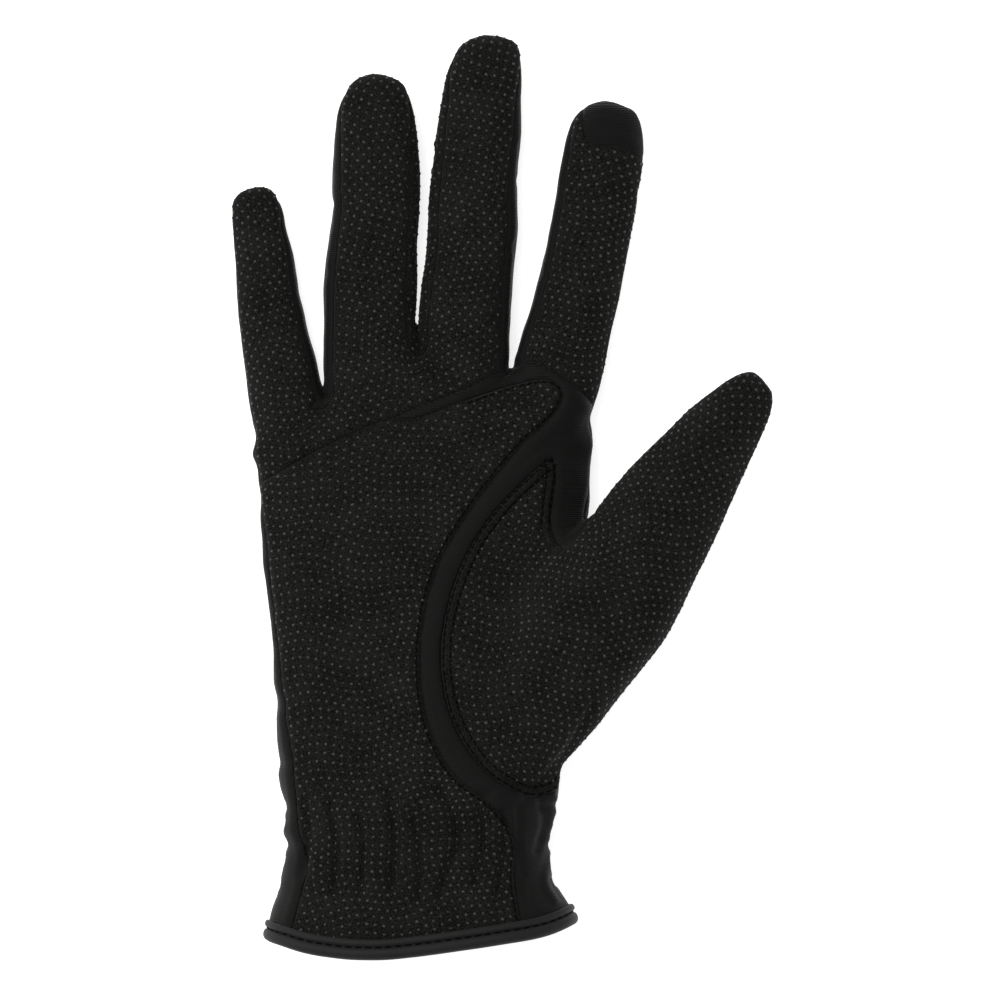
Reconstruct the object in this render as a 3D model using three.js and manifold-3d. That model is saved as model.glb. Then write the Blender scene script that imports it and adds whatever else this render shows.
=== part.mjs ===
// A right-hand riding glove lying on its back, with its palm up, its fingers towards +Y and its thumb
// towards +X. Millimetres, +Z up. The glove is a shell of one cloth wall, cut along its seams into its
// panels, with a bound hem.
import * as THREE from "three";
import { mergeVertices } from "three/addons/utils/BufferGeometryUtils.js";
import Module from "manifold-3d";

const wasm = await Module();
wasm.setup();

// Driving sizes
const palmLength = 153; // from the lowest point of the hem to the roots of the fingers
const knuckleWidth = 87;
const wristWidth = 69;
const hemWidth = 83;
const palmDepth = 25;
const wristDepth = 27;
const hemDepth = 29;
const palmHollow = 2.5; // how far the middle of the palm dips between its two mounds
const littleLength = 57;
const ringLength = 71.3;
const middleLength = 83.7;
const indexLength = 70.9;
const thumbLength = 88;
const littleWidth = 20;
const ringWidth = 24;
const middleWidth = 24;
const indexWidth = 22;
const thumbWidth = 34;
const littleDepth = 13.8;
const fingerDepth = 15.5;
const thumbDepth = 23;
const wall = 1.5; // thickness of the cloth
const seamGap = 0.3; // clearance between two pieces along a seam
const gatherDepth = 0.9; // of the rolls that the elastic draws at the wrist
const gatherPitch = 8.4;
const hemRise = 11; // how far the thumb end of the hem sits above its lowest point
const bindingHeight = 5.2;
const bindingLip = 0.9; // thickness of the binding on each face of the cloth
const bindingFold = 1.8; // solid cloth of the binding under the edge of the panels
const upperRoll = 1.8; // height of the binding above its line of stitches
const stitchGroove = 0.5; // width and depth of that line

// Facets of a section above and below its middle
const palmSides = { above: 14, below: 8 };
const fingerSides = { above: 7, below: 5 };
const thumbSides = { above: 8, below: 5 };
const roundness = 2.5; // of the sections: 2 is an ellipse, more is squarer
const curveStep = 9; // length of one straight piece of a seam

const halfPalm = knuckleWidth / 2;
const degree = Math.PI / 180;

// Rows of the palm. along and dip are shares of palmLength and palmHollow, left and right shares of half
// the width of their zone, deep a share of its depth. raised is the share of the binding's lip under the row.
const hemZone = { width: hemWidth, depth: hemDepth };
const wristZone = { width: wristWidth, depth: wristDepth };
const palmZone = { width: knuckleWidth, depth: palmDepth };
const palmRows = [
  { along: -0.06, zone: hemZone, left: 1.01, right: 1.0, deep: 1.0, dip: 0, raised: 1 },
  { along: 0.045, zone: hemZone, left: 0.99, right: 0.98, deep: 0.98, dip: 0, raised: 1 },
  { along: 0.08, zone: hemZone, left: 0.97, right: 0.95, deep: 0.96, dip: 0, raised: 1 },
  { along: 0.114, zone: hemZone, left: 0.92, right: 0.85, deep: 0.94, dip: 0, raised: 0 },
  { along: 0.155, zone: wristZone, left: 1.08, right: 0.96, deep: 1.0, dip: 0, raised: 0 },
  { along: 0.24, zone: wristZone, left: 1.06, right: 0.96, deep: 0.98, dip: 0, raised: 0 },
  { along: 0.352, zone: palmZone, left: 0.873, right: 0.82, deep: 1.04, dip: 0.5, raised: 0 },
  { along: 0.5, zone: palmZone, left: 0.9, right: 0.875, deep: 1.02, dip: 1, raised: 0 },
  { along: 0.64, zone: palmZone, left: 0.95, right: 0.935, deep: 0.94, dip: 0.9, raised: 0 },
  { along: 0.777, zone: palmZone, left: 0.986, right: 0.986, deep: 0.85, dip: 0.5, raised: 0 },
  { along: 0.862, zone: palmZone, left: 0.998, right: 1.005, deep: 0.78, dip: 0.2, raised: 0 },
  { along: 0.95, zone: palmZone, left: 1.005, right: 1.01, deep: 0.71, dip: 0, raised: 0 },
  { along: 1.0, zone: palmZone, left: 0.96, right: 0.96, deep: 0.5, dip: 0, raised: 0 },
];
const palmCentre = 0.45; // height of the widest line of the palm, as a share of its depth
const gathersFrom = 0.165; // shares of palmLength between which the wrist is gathered
const gathersTo = 0.33;

// The line of the crotches between the fingers: across is a share of half the knuckles, along of palmLength.
const webLine = [
  { across: -1.1, along: 0.88 },
  { across: -0.592, along: 0.941 },
  { across: -0.036, along: 1.035 },
  { across: 0.514, along: 1.001 },
  { across: 1.1, along: 0.91 },
];
const webFrom = 0.8; // share of palmLength where the rows start to bend towards that line

// The lower edge of the hem: across is a share of half the hem, rise a share of hemRise.
const hemLine = [
  { across: -1.3, rise: 0.8 },
  { across: -1.01, rise: 0.45 },
  { across: -0.8, rise: 0.19 },
  { across: -0.55, rise: 0.03 },
  { across: -0.2, rise: 0.02 },
  { across: 0.12, rise: 0.16 },
  { across: 0.46, rise: 0.35 },
  { across: 0.79, rise: 0.57 },
  { across: 1.0, rise: 1.0 },
  { across: 1.3, rise: 1.9 },
];

// Sections of the fingers and of the thumb from the side: at is a share of the length, centre and half
// shares of the depth.
const fingerProfile = [
  { at: -0.4, centre: 0.56, half: 0.62 },
  { at: -0.12, centre: 0.52, half: 0.58 },
  { at: 0, centre: 0.5, half: 0.56 },
  { at: 0.3, centre: 0.47, half: 0.53 },
  { at: 0.6, centre: 0.49, half: 0.5 },
  { at: 0.8, centre: 0.54, half: 0.44 },
  { at: 0.9, centre: 0.58, half: 0.38 },
  { at: 0.95, centre: 0.6, half: 0.31 },
  { at: 0.985, centre: 0.61, half: 0.21 },
  { at: 1, centre: 0.61, half: 0.1 },
];
const thumbProfile = [
  { at: -0.42, centre: 0.5, half: 0.46 },
  { at: -0.2, centre: 0.58, half: 0.56 },
  { at: 0, centre: 0.68, half: 0.59 },
  { at: 0.2, centre: 0.74, half: 0.55 },
  { at: 0.35, centre: 0.77, half: 0.5 },
  { at: 0.5, centre: 0.79, half: 0.44 },
  { at: 0.7, centre: 0.81, half: 0.37 },
  { at: 0.85, centre: 0.83, half: 0.31 },
  { at: 0.93, centre: 0.84, half: 0.25 },
  { at: 0.975, centre: 0.84, half: 0.17 },
  { at: 1, centre: 0.84, half: 0.08 },
];

// The digits. root is shares of half the knuckles and of palmLength, lean is degrees towards +X. In each
// outline, at is a share of the length, left and right are shares of half the digit's width.
const digits = {
  little: {
    root: [-0.813, 0.941],
    lean: -8.1,
    length: littleLength,
    width: littleWidth,
    depth: littleDepth,
    profile: fingerProfile,
    outline: [
      { at: -0.36, left: 1.0, right: 1.4 },
      { at: -0.13, left: 0.98, right: 1.15 },
      { at: 0, left: 1.01, right: 0.95 },
      { at: 0.3, left: 0.98, right: 0.76 },
      { at: 0.7, left: 0.84, right: 0.64 },
      { at: 0.86, left: 0.79, right: 0.56 },
      { at: 0.94, left: 0.72, right: 0.47 },
      { at: 0.98, left: 0.52, right: 0.33 },
      { at: 1, left: 0.28, right: 0.16 },
    ],
  },
  ring: {
    root: [-0.317, 1.035],
    lean: 1.0,
    length: ringLength,
    width: ringWidth,
    depth: fingerDepth,
    profile: fingerProfile,
    outline: [
      { at: -0.38, left: 1.0, right: 1.35 },
      { at: 0, left: 1.03, right: 1.01 },
      { at: 0.2, left: 1.06, right: 0.95 },
      { at: 0.6, left: 0.91, right: 0.99 },
      { at: 0.8, left: 0.86, right: 0.88 },
      { at: 0.9, left: 0.77, right: 0.77 },
      { at: 0.95, left: 0.6, right: 0.66 },
      { at: 0.985, left: 0.4, right: 0.38 },
      { at: 1, left: 0.2, right: 0.18 },
    ],
  },
  middle: {
    root: [0.251, 1.023],
    lean: 3.9,
    length: middleLength,
    width: middleWidth,
    depth: fingerDepth,
    profile: fingerProfile,
    outline: [
      { at: -0.32, left: 1.2, right: 1.3 },
      { at: 0, left: 1.04, right: 0.94 },
      { at: 0.1, left: 1.08, right: 0.9 },
      { at: 0.6, left: 1.0, right: 0.84 },
      { at: 0.8, left: 0.89, right: 0.8 },
      { at: 0.9, left: 0.77, right: 0.76 },
      { at: 0.95, left: 0.63, right: 0.72 },
      { at: 0.985, left: 0.4, right: 0.58 },
      { at: 1, left: 0.18, right: 0.32 },
    ],
  },
  index: {
    root: [0.789, 1.001],
    lean: 10.8,
    length: indexLength,
    width: indexWidth,
    depth: fingerDepth,
    profile: fingerProfile,
    outline: [
      { at: -0.34, left: 1.2, right: 1.16 },
      { at: 0, left: 1.0, right: 1.1 },
      { at: 0.3, left: 0.82, right: 1.16 },
      { at: 0.5, left: 0.77, right: 1.15 },
      { at: 0.82, left: 0.78, right: 1.1 },
      { at: 0.9, left: 0.71, right: 0.98 },
      { at: 0.95, left: 0.56, right: 0.85 },
      { at: 0.985, left: 0.3, right: 0.64 },
      { at: 1, left: 0.1, right: 0.36 },
    ],
  },
  thumb: {
    root: [0.813, 0.522],
    lean: 34.8,
    length: thumbLength,
    width: thumbWidth,
    depth: thumbDepth,
    profile: thumbProfile,
    outline: [
      { at: -0.42, left: 0.8, right: 0.86 },
      { at: -0.22, left: 0.97, right: 1.07 },
      { at: 0, left: 0.96, right: 1.14 },
      { at: 0.12, left: 0.94, right: 1.2 },
      { at: 0.25, left: 0.9, right: 1.18 },
      { at: 0.55, left: 0.73, right: 0.94 },
      { at: 0.8, left: 0.49, right: 0.69 },
      { at: 0.93, left: 0.3, right: 0.57 },
      { at: 0.985, left: 0.13, right: 0.4 },
      { at: 1, left: 0.05, right: 0.22 },
    ],
  },
};
const fingers = [digits.little, digits.ring, digits.middle, digits.index];

// Seams seen on the palm side, as [share of half the knuckles, share of palmLength].
const crossSeam = [
  [-1.15, 0.78],
  [-0.95, 0.812],
  [-0.54, 0.877],
  [-0.08, 0.931],
  [0.24, 0.967],
  [0.56, 1.012],
];
const palmPatchEdge = [
  [-0.24, 0.925],
  [-0.1, 0.912],
  [0.19, 0.941],
  [0.53, 0.974],
  [0.74, 0.983],
  [0.83, 0.962],
  [0.77, 0.921],
  [0.57, 0.868],
  [0.29, 0.768],
  [0.08, 0.667],
  [-0.02, 0.55],
  [0.0, 0.42],
  [0.16, 0.318],
  [0.42, 0.257],
  [0.54, 0.2],
  [0.54, 0.12],
  [0.66, -0.06],
];
const indexSeam = [
  [0.5, 1.022],
  [0.62, 1.013],
  [0.78, 0.997],
  [0.93, 0.965],
  [1.15, 0.89],
];
const outerSeam = [
  [-1.25, 0.9],
  [-1.03, 0.82],
  [-0.962, 0.74],
  [-0.925, 0.64],
  [-0.88, 0.534],
  [-0.837, 0.425],
  [-0.785, 0.33],
  [-0.755, 0.23],
  [-0.7, 0.165],
  [-0.74, 0.105],
  [-0.9, -0.06],
];

// Seams round the thumb, as [share of half its width, share of its length] from its root.
const thumbSeam = [
  [1.321, -0.049],
  [1.267, -0.173],
  [1.213, -0.297],
  [1.090, -0.366],
  [0.722, -0.411],
  [-0.065, -0.409],
  [-0.942, -0.321],
  [-1.631, -0.155],
  [-2.005, 0.061],
  [-2.026, 0.257],
  [-1.712, 0.465],
];
const thumbFlap = [
  [-1.868, 0.469],
  [-1.589, 0.418],
  [-1.426, 0.355],
  [-1.226, 0.286],
  [-0.973, 0.250],
  [-0.830, 0.280],
  [-0.788, 0.381],
  [-0.778, 0.569],
];
const thumbBackSeam = [
  [-0.778, 0.569],
  [-0.788, 0.381],
  [-0.668, 0.287],
  [-0.218, 0.136],
  [0.233, -0.015],
  [0.662, -0.169],
  [1.064, -0.264],
  [1.225, -0.179],
  [1.398, -0.071],
];

// The seam below the index tip, as [share of half the finger's width, share of its length].
const tipSeam = [
  [-0.669, 1.054],
  [-0.467, 0.907],
  [-0.337, 0.840],
  [-0.085, 0.826],
  [0.503, 0.839],
  [1.490, 0.789],
];

// Height of the side seams of the palm and fingers, along as a share of palmLength.
const sideSeam = [
  { along: -0.2, depth: hemDepth, share: 0.47 },
  { along: 0.05, depth: hemDepth, share: 0.47 },
  { along: 0.25, depth: wristDepth, share: 0.46 },
  { along: 0.5, depth: palmDepth, share: 0.46 },
  { along: 0.85, depth: palmDepth, share: 0.38 },
  { along: 1.0, depth: fingerDepth, share: 0.5 },
  { along: 1.2, depth: fingerDepth, share: 0.47 },
  { along: 1.35, depth: fingerDepth, share: 0.52 },
  { along: 1.7, depth: fingerDepth, share: 0.6 },
];

// The strips that join the fronts of two fingers to their backs: how far each reaches above and below the
// side seam, as shares of fingerDepth, tapering to nothing near the tips.
const stripRows = [
  { at: 0, above: 0.36, below: 0.2 },
  { at: 0.35, above: 0.37, below: 0.2 },
  { at: 0.65, above: 0.34, below: 0.18 },
  { at: 0.85, above: 0.26, below: 0.14 },
  { at: 1, above: 0.03, below: 0.03 },
];
const stripEnd = 0.95; // share of a finger's length where its strip runs out
const stripStarts = [2, 6.5, 1.5]; // how far behind its crotch each starts, from the little finger on
const stripReach = 5; // how far it may reach in from the side of each finger

// Value of one column of a table at a position, straight between its rows.
function sample(rows, key, at, column) {
  let i = 0;
  while (i < rows.length - 2 && rows[i + 1][key] < at) i += 1;
  const from = rows[i];
  const to = rows[i + 1];
  const share = THREE.MathUtils.clamp((at - from[key]) / (to[key] - from[key]), 0, 1);
  return THREE.MathUtils.lerp(column(from), column(to), share);
}

// A solid from rings of points that all have the same count and run anticlockwise from +X to +Z, closed by
// a fan at each end.
function loft(rings) {
  const count = rings[0].length;
  const points = rings.flat();
  const indices = [];
  for (let r = 0; r + 1 < rings.length; r += 1) {
    for (let i = 0; i < count; i += 1) {
      const a = r * count + i;
      const b = r * count + ((i + 1) % count);
      indices.push(a, a + count, b, b, a + count, b + count);
    }
  }
  const addCap = (ring, offset, flip) => {
    const middle = points.length;
    const centre = new THREE.Vector3();
    ring.forEach((point) => centre.addScaledVector(point, 1 / count));
    points.push(centre);
    for (let i = 0; i < count; i += 1) {
      const a = offset + i;
      const b = offset + ((i + 1) % count);
      indices.push(...(flip ? [a, b, middle] : [b, a, middle]));
    }
  };
  addCap(rings[0], 0, true);
  addCap(rings.at(-1), (rings.length - 1) * count, false);
  return solid(new THREE.BufferGeometry().setFromPoints(points).setIndex(indices));
}

// A closed three.js geometry as a solid that can be joined and cut.
function solid(geometry) {
  const bare = geometry.clone();
  bare.deleteAttribute("normal");
  bare.deleteAttribute("uv");
  const merged = mergeVertices(bare, 1e-4);
  return new wasm.Manifold(
    new wasm.Mesh({
      numProp: 3,
      vertProperties: merged.attributes.position.array,
      triVerts: new Uint32Array(merged.index.array),
    }),
  );
}

function joined(solids) {
  return solids.reduce((whole, next) => whole.add(next));
}

// An upright prism over a closed outline of [x, y] points, between two heights.
function prism(outline, bottom, top) {
  const shape = new THREE.Shape(outline.map(([x, y]) => new THREE.Vector2(x, y)));
  const geometry = new THREE.ExtrudeGeometry(shape, { depth: top - bottom, bevelEnabled: false });
  geometry.translate(0, 0, bottom);
  return solid(geometry);
}

// Points along the smooth curve through some points in millimetres.
function smooth(points) {
  const line = new THREE.SplineCurve(points.map((point) => new THREE.Vector2(...point)));
  const steps = Math.ceil(line.getLength() / curveStep);
  return line.getSpacedPoints(steps).map((point) => [point.x, point.y]);
}

// A point given in shares of half the knuckles and of palmLength.
function onPalm([across, along]) {
  return [across * halfPalm, along * palmLength];
}

// The points of a curve moved sideways, to its left where the distance is positive.
function sideways(points, distance) {
  return points.map(([x, y], i) => {
    const [x0, y0] = points[Math.max(i - 1, 0)];
    const [x1, y1] = points[Math.min(i + 1, points.length - 1)];
    const length = Math.hypot(x1 - x0, y1 - y0);
    return [x - ((y1 - y0) / length) * distance, y + ((x1 - x0) / length) * distance];
  });
}

// Everything within half a seam gap of the curve through some points, seen from above.
const below = -3 * palmDepth;
const over = 3 * palmDepth;
function seam(through) {
  const points = smooth(through);
  const left = sideways(points, seamGap / 2);
  const right = sideways(points, -seamGap / 2);
  return prism([...right, ...left.reverse()], below, over);
}

// One cross-section as [across, height], with its underside flattened at the floor.
function section(row, sides, inset) {
  const points = [];
  const floor = row.floor + inset;
  for (let i = 0; i < sides.above + sides.below; i += 1) {
    const turn = Math.PI * (i < sides.above ? i / sides.above : 1 + (i - sides.above) / sides.below);
    const bend = (value) => Math.sign(value) * Math.abs(value) ** (2 / roundness);
    const across = bend(Math.cos(turn));
    const up = bend(Math.sin(turn));
    const x = across * Math.max((across < 0 ? row.left : row.right) - inset, 0.1);
    const dip = up > 0 ? row.dip * (1 - across * across) ** 2 : 0;
    const z = row.centre + up * Math.max(row.half - inset, 0.1) - dip;
    points.push([x, Math.max(z, floor)]);
  }
  return points;
}

// The palm and cuff, smaller by the inset all round. Its rows bend towards the line of the crotches.
function palmForm(inset, rows = palmRows) {
  const places = rows.map((row) => row.along);
  const gathers = Math.round(((gathersTo - gathersFrom) * palmLength) / gatherPitch);
  const halfPitch = (gathersTo - gathersFrom) / (2 * gathers);
  for (let i = 1; i < 2 * gathers; i += 1) places.push(gathersFrom + i * halfPitch);
  const sorted = [...new Set(places.map((place) => Number(place.toFixed(4))))].sort((a, b) => a - b);
  const stations = sorted.filter((place) => place <= rows.at(-1).along);
  const rings = stations.map((along) => {
    const value = (column) => sample(rows, "along", along, column);
    const phase = (along - gathersFrom) / halfPitch;
    const inGathers = along > gathersFrom && along < gathersTo;
    const gather = inGathers ? gatherDepth * Math.sin((phase * Math.PI) / 2) ** 2 : 0;
    const depth = value((row) => row.zone.depth * row.deep);
    const row = {
      left: value((r) => (r.left * r.zone.width) / 2) - gather,
      right: value((r) => (r.right * r.zone.width) / 2) - gather,
      centre: palmCentre * depth,
      half: (1 - palmCentre) * depth,
      dip: value((r) => r.dip * palmHollow),
      floor: value((r) => r.raised) * (bindingLip + seamGap),
    };
    const end = along >= 1 ? inset : 0;
    const bendShare = THREE.MathUtils.smoothstep(along, webFrom, 1);
    return section(row, palmSides, inset).map(([x, z]) => {
      const web = sample(webLine, "across", x / halfPalm, (r) => r.along) - 1;
      return new THREE.Vector3(x, (along + bendShare * web) * palmLength - end, z);
    });
  });
  // The far end bends with the crotches, so it closes upright, onto a thin slot halfway up
  const last = rings.at(-1);
  const level = last.reduce((sum, point) => sum + point.z / last.length, 0);
  const slot = last.map((point) => point.clone().setZ(THREE.MathUtils.lerp(level, point.z, 0.02)));
  return loft([...rings, slot]);
}

// A point of a digit, from a distance along it and a distance across it.
function onDigit(digit, along, across) {
  const angle = digit.lean * degree;
  return [
    digit.root[0] * halfPalm + along * Math.sin(angle) + across * Math.cos(angle),
    digit.root[1] * palmLength + along * Math.cos(angle) - across * Math.sin(angle),
  ];
}

function digitForm(digit, sides, inset) {
  return loft(
    digit.outline.map(({ at, left, right }) => {
      const value = (column) => sample(digit.profile, "at", at, column) * digit.depth;
      const row = {
        left: (left * digit.width) / 2,
        right: (right * digit.width) / 2,
        centre: value((r) => r.centre),
        half: value((r) => r.half),
        dip: 0,
        floor: 0,
      };
      const along = at > 0 ? at * (digit.length - inset) : at * digit.length;
      return section(row, sides, inset).map(
        ([across, z]) => new THREE.Vector3(...onDigit(digit, along, across), z),
      );
    }),
  );
}

// The whole glove as one solid, smaller by the inset all round.
function gloveForm(inset) {
  const fingerForms = fingers.map((finger) => digitForm(finger, fingerSides, inset));
  return joined([palmForm(inset), digitForm(digits.thumb, thumbSides, inset), ...fingerForms]);
}

// Everything below the hem's lower edge moved up by a distance.
function belowHem(distance) {
  const points = hemLine.map(({ across, rise }) => [(across * hemWidth) / 2, rise * hemRise + distance]);
  const line = smooth(points);
  const [[x0], [x1]] = [line[0], line.at(-1)];
  return prism([[x0, -palmLength], [x1, -palmLength], ...line.reverse()], below, over);
}

// Everything that belongs to the back of the glove, grown by a distance on its free sides.
function backSide(grow) {
  const far = 2 * knuckleWidth;
  const level = sideSeam.map(({ along, depth, share }) => {
    const y = along * palmLength;
    const z = depth * share + grow;
    return [[-far, below], [far, below], [far, z], [-far, z]].map(([x, h]) => new THREE.Vector3(x, y, h));
  });
  const outer = sideways(smooth(outerSeam.map(onPalm)), grow);
  const [, y0] = outer[0];
  const [, y1] = outer.at(-1);
  const wrap = prism([...outer, [-far, y1], [-far, y0]].reverse(), below, over);
  return joined([loft(level), wrap, underThumb(grow)]);
}

// Everything under the seam round the thumb, which lies higher than the side seams of the palm.
const underThumbRows = [
  { at: -0.45, left: 0.1 },
  { at: -0.2, left: 0.15 },
  { at: 0.1, left: 0.3 },
  { at: 0.3, left: 0.68 },
  { at: 0.42, left: 1.0 },
  { at: 0.7, left: 1.4 },
  { at: 1.1, left: 1.4 },
];
function underThumb(grow) {
  const { thumb } = digits;
  const rings = underThumbRows.map(({ at, left }) => {
    const z = sample(thumb.profile, "at", at, (row) => row.centre) * thumb.depth + grow;
    const inner = (-left * thumb.width) / 2 - grow;
    const outer = 1.6 * thumb.width;
    return [[inner, below], [outer, below], [outer, z], [inner, z]].map(
      ([across, h]) => new THREE.Vector3(...onDigit(thumb, at * thumb.length, across), h),
    );
  });
  return loft(rings);
}

// The strip in the gap between two fingers, grown by a distance all round.
function gapStrip(index, grow) {
  const pair = [fingers[index], fingers[index + 1]];
  const crotch = webLine[index + 1].along * palmLength - stripStarts[index];
  const rings = stripRows.map(({ at, above, below: under }, i) => {
    const end = i === 0 ? -grow : 0;
    const corners = pair.map((finger, side) => {
      const start = crotch - finger.root[1] * palmLength + end;
      const along = THREE.MathUtils.lerp(start, stripEnd * finger.length, at);
      const share = along / finger.length;
      const centre = sample(finger.profile, "at", share, (row) => row.centre) * finger.depth;
      const low = centre - under * finger.depth - grow;
      const high = centre + above * finger.depth + grow;
      const width = sample(finger.outline, "at", share, (row) => (side ? row.left : row.right));
      const across = (width * finger.width) / 2 - stripReach;
      return { point: onDigit(finger, along, side ? -across : across), low, high };
    });
    const [left, right] = corners;
    return [
      new THREE.Vector3(...left.point, left.low),
      new THREE.Vector3(...right.point, right.low),
      new THREE.Vector3(...right.point, right.high),
      new THREE.Vector3(...left.point, left.high),
    ];
  });
  return loft(rings);
}

// The same for a digit, given in shares of half its width and of its length.
function onDigitShares(digit, [across, along]) {
  return onDigit(digit, along * digit.length, (across * digit.width) / 2);
}

// The one loose body of a cut solid that lies over or under a point.
function bodyAt(cut, [x, y]) {
  const reach = wall;
  const probe = prism(
    [[x - reach, y - reach], [x + reach, y - reach], [x + reach, y + reach], [x - reach, y + reach]],
    below,
    over,
  );
  const bodies = cut.decompose();
  const touched = bodies.filter((body) => body.intersect(probe).getMesh().triVerts.length > 0);
  return touched.sort((a, b) => b.getMesh().triVerts.length - a.getMesh().triVerts.length)[0];
}

function largestBody(cut) {
  const bodies = cut.decompose();
  return bodies.sort((a, b) => b.getMesh().triVerts.length - a.getMesh().triVerts.length)[0];
}

// The binding: a folded tape that holds the edge of the panels in a slot, with a line of stitches pressed in.
function bindingSolid() {
  const clearOut = -seamGap;
  const clearIn = wall + seamGap;
  const tape = palmCuff(clearOut - bindingLip).subtract(palmCuff(clearIn + bindingLip));
  const slot = palmCuff(clearOut).subtract(palmCuff(clearIn)).subtract(belowHem(bindingFold));
  const grooveTop = bindingHeight - upperRoll;
  const grooveBand = belowHem(grooveTop).subtract(belowHem(grooveTop - stitchGroove));
  const groove = grooveBand.subtract(palmCuff(clearOut - bindingLip + stitchGroove));
  const band = belowHem(bindingHeight).subtract(belowHem(0));
  return tape.intersect(band).subtract(slot).subtract(groove);
}

// Only the cuff, which is enough for the binding.
function palmCuff(inset) {
  return palmForm(inset, palmRows.slice(0, 5));
}

const shell = gloveForm(0).subtract(gloveForm(wall)).subtract(belowHem(bindingFold + seamGap));
const half = seamGap / 2;
const strips = stripStarts.map((_, i) => largestBody(shell.intersect(gapStrip(i, -half))));
const withoutStrips = stripStarts.reduce((rest, _, i) => rest.subtract(gapStrip(i, half)), shell);
const onThumb = (point) => onDigitShares(digits.thumb, point);
const patchSeams = joined([
  seam(crossSeam.map(onPalm)),
  seam(palmPatchEdge.map(onPalm)),
  seam(indexSeam.map(onPalm)),
  seam(thumbSeam.map(onThumb)),
  seam(thumbFlap.map(onThumb)),
  seam(tipSeam.map((point) => onDigitShares(digits.index, point))),
]);
const front = withoutStrips.subtract(backSide(half)).subtract(patchSeams);
const back = withoutStrips.intersect(backSide(-half)).subtract(seam(thumbBackSeam.map(onThumb)));

// Finishes: grip cloth covered in dots, smooth stretch cloth, touch cloth and binding tape
const gripCloth = new THREE.MeshStandardMaterial({ color: 0x1f1f1e, roughness: 0.85, metalness: 0 });
const stretchCloth = new THREE.MeshStandardMaterial({ color: 0x1a1a1a, roughness: 0.7, metalness: 0 });
const touchCloth = new THREE.MeshStandardMaterial({ color: 0x202020, roughness: 0.65, metalness: 0 });
const bindingTape = new THREE.MeshStandardMaterial({ color: 0x262626, roughness: 0.6, metalness: 0 });

// Each panel is found from a point on it
const pieces = [
  ["palm_panel", bodyAt(front, onPalm([-0.45, 0.6])), gripCloth],
  ["finger_front_panel", bodyAt(front, onDigitShares(digits.ring, [0, 0.2])), gripCloth],
  ["index_front_panel", bodyAt(front, onDigitShares(digits.index, [0, 0.35])), gripCloth],
  ["index_touch_tip", bodyAt(front, onDigitShares(digits.index, [0.1, 0.93])), touchCloth],
  ["stretch_base_panel", bodyAt(front, onPalm([0.9, 0.9])), stretchCloth],
  ["thumb_front_panel", bodyAt(front, onDigitShares(digits.thumb, [0, 0.15])), gripCloth],
  ["thumb_back_panel", bodyAt(back, onDigitShares(digits.thumb, [0, 0.55])), stretchCloth],
  ["back_panel", bodyAt(back, onPalm([0, 0.5])), stretchCloth],
  ["fourchette_little_ring", strips[0], stretchCloth],
  ["fourchette_ring_middle", strips[1], gripCloth],
  ["fourchette_middle_index", strips[2], stretchCloth],
  ["hem_binding", largestBody(bindingSolid()), bindingTape],
];

const glove = new THREE.Group();
for (const [name, piece, material] of pieces) {
  const { vertProperties, triVerts } = piece.getMesh();
  const geometry = new THREE.BufferGeometry();
  geometry.setAttribute("position", new THREE.BufferAttribute(vertProperties, 3));
  geometry.setIndex(new THREE.BufferAttribute(triVerts, 1));
  const mesh = new THREE.Mesh(geometry, material);
  mesh.name = name;
  glove.add(mesh);
}

// The origin lies under the middle of the glove
const bounds = new THREE.Box3().setFromObject(glove, true);
const middle = bounds.getCenter(new THREE.Vector3());
glove.position.set(-middle.x, -middle.y, -bounds.min.z);

export default glove;
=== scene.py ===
"""A right-hand riding glove in dotted grip cloth and smooth stretch cloth, lying on its back with its palm up.

The glove is made from one closed form of a filled hand. The form is cut along its seams into the cloth
panels, each panel gets its sewn edges, folds and thickness, and the grip dots, stitches and hem binding
are laid on them. Sizes are in millimetres in the frame of the hand, whose origin is at the lowest point
of the hem, and they are turned into the row's metres when a piece is finished.
"""

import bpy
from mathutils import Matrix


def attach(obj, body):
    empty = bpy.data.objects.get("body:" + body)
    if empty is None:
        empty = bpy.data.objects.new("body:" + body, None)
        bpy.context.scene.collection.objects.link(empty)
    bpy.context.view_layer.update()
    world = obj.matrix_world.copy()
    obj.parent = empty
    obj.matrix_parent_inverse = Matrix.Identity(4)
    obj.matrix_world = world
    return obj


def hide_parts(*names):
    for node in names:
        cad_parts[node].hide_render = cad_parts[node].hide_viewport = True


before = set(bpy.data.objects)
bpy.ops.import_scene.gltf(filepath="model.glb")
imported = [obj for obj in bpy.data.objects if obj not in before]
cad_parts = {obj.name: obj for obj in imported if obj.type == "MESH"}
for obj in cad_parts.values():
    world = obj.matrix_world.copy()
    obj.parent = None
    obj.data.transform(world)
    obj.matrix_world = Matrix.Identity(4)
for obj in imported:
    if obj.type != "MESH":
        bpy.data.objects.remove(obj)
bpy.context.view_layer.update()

import logging
import math
from dataclasses import dataclass, field
from enum import Enum, IntEnum
from typing import Sequence

import bmesh
import bpy
import numpy as np
from mathutils import Matrix, Vector
from mathutils.bvhtree import BVHTree
from mathutils.kdtree import KDTree

log = logging.getLogger("riding_glove")

Table = Sequence[Sequence[float]]

MM = 0.001
ORIGIN = np.array([-20.1626, -120.1408, 0.0])  # from the hand's frame to the row's, in millimetres
PALM_LENGTH = 153.0
HALF_PALM = 43.5
THUMB_WIDTH = 34.0
HALF_INDEX = 11.0
SEED = 27


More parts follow.
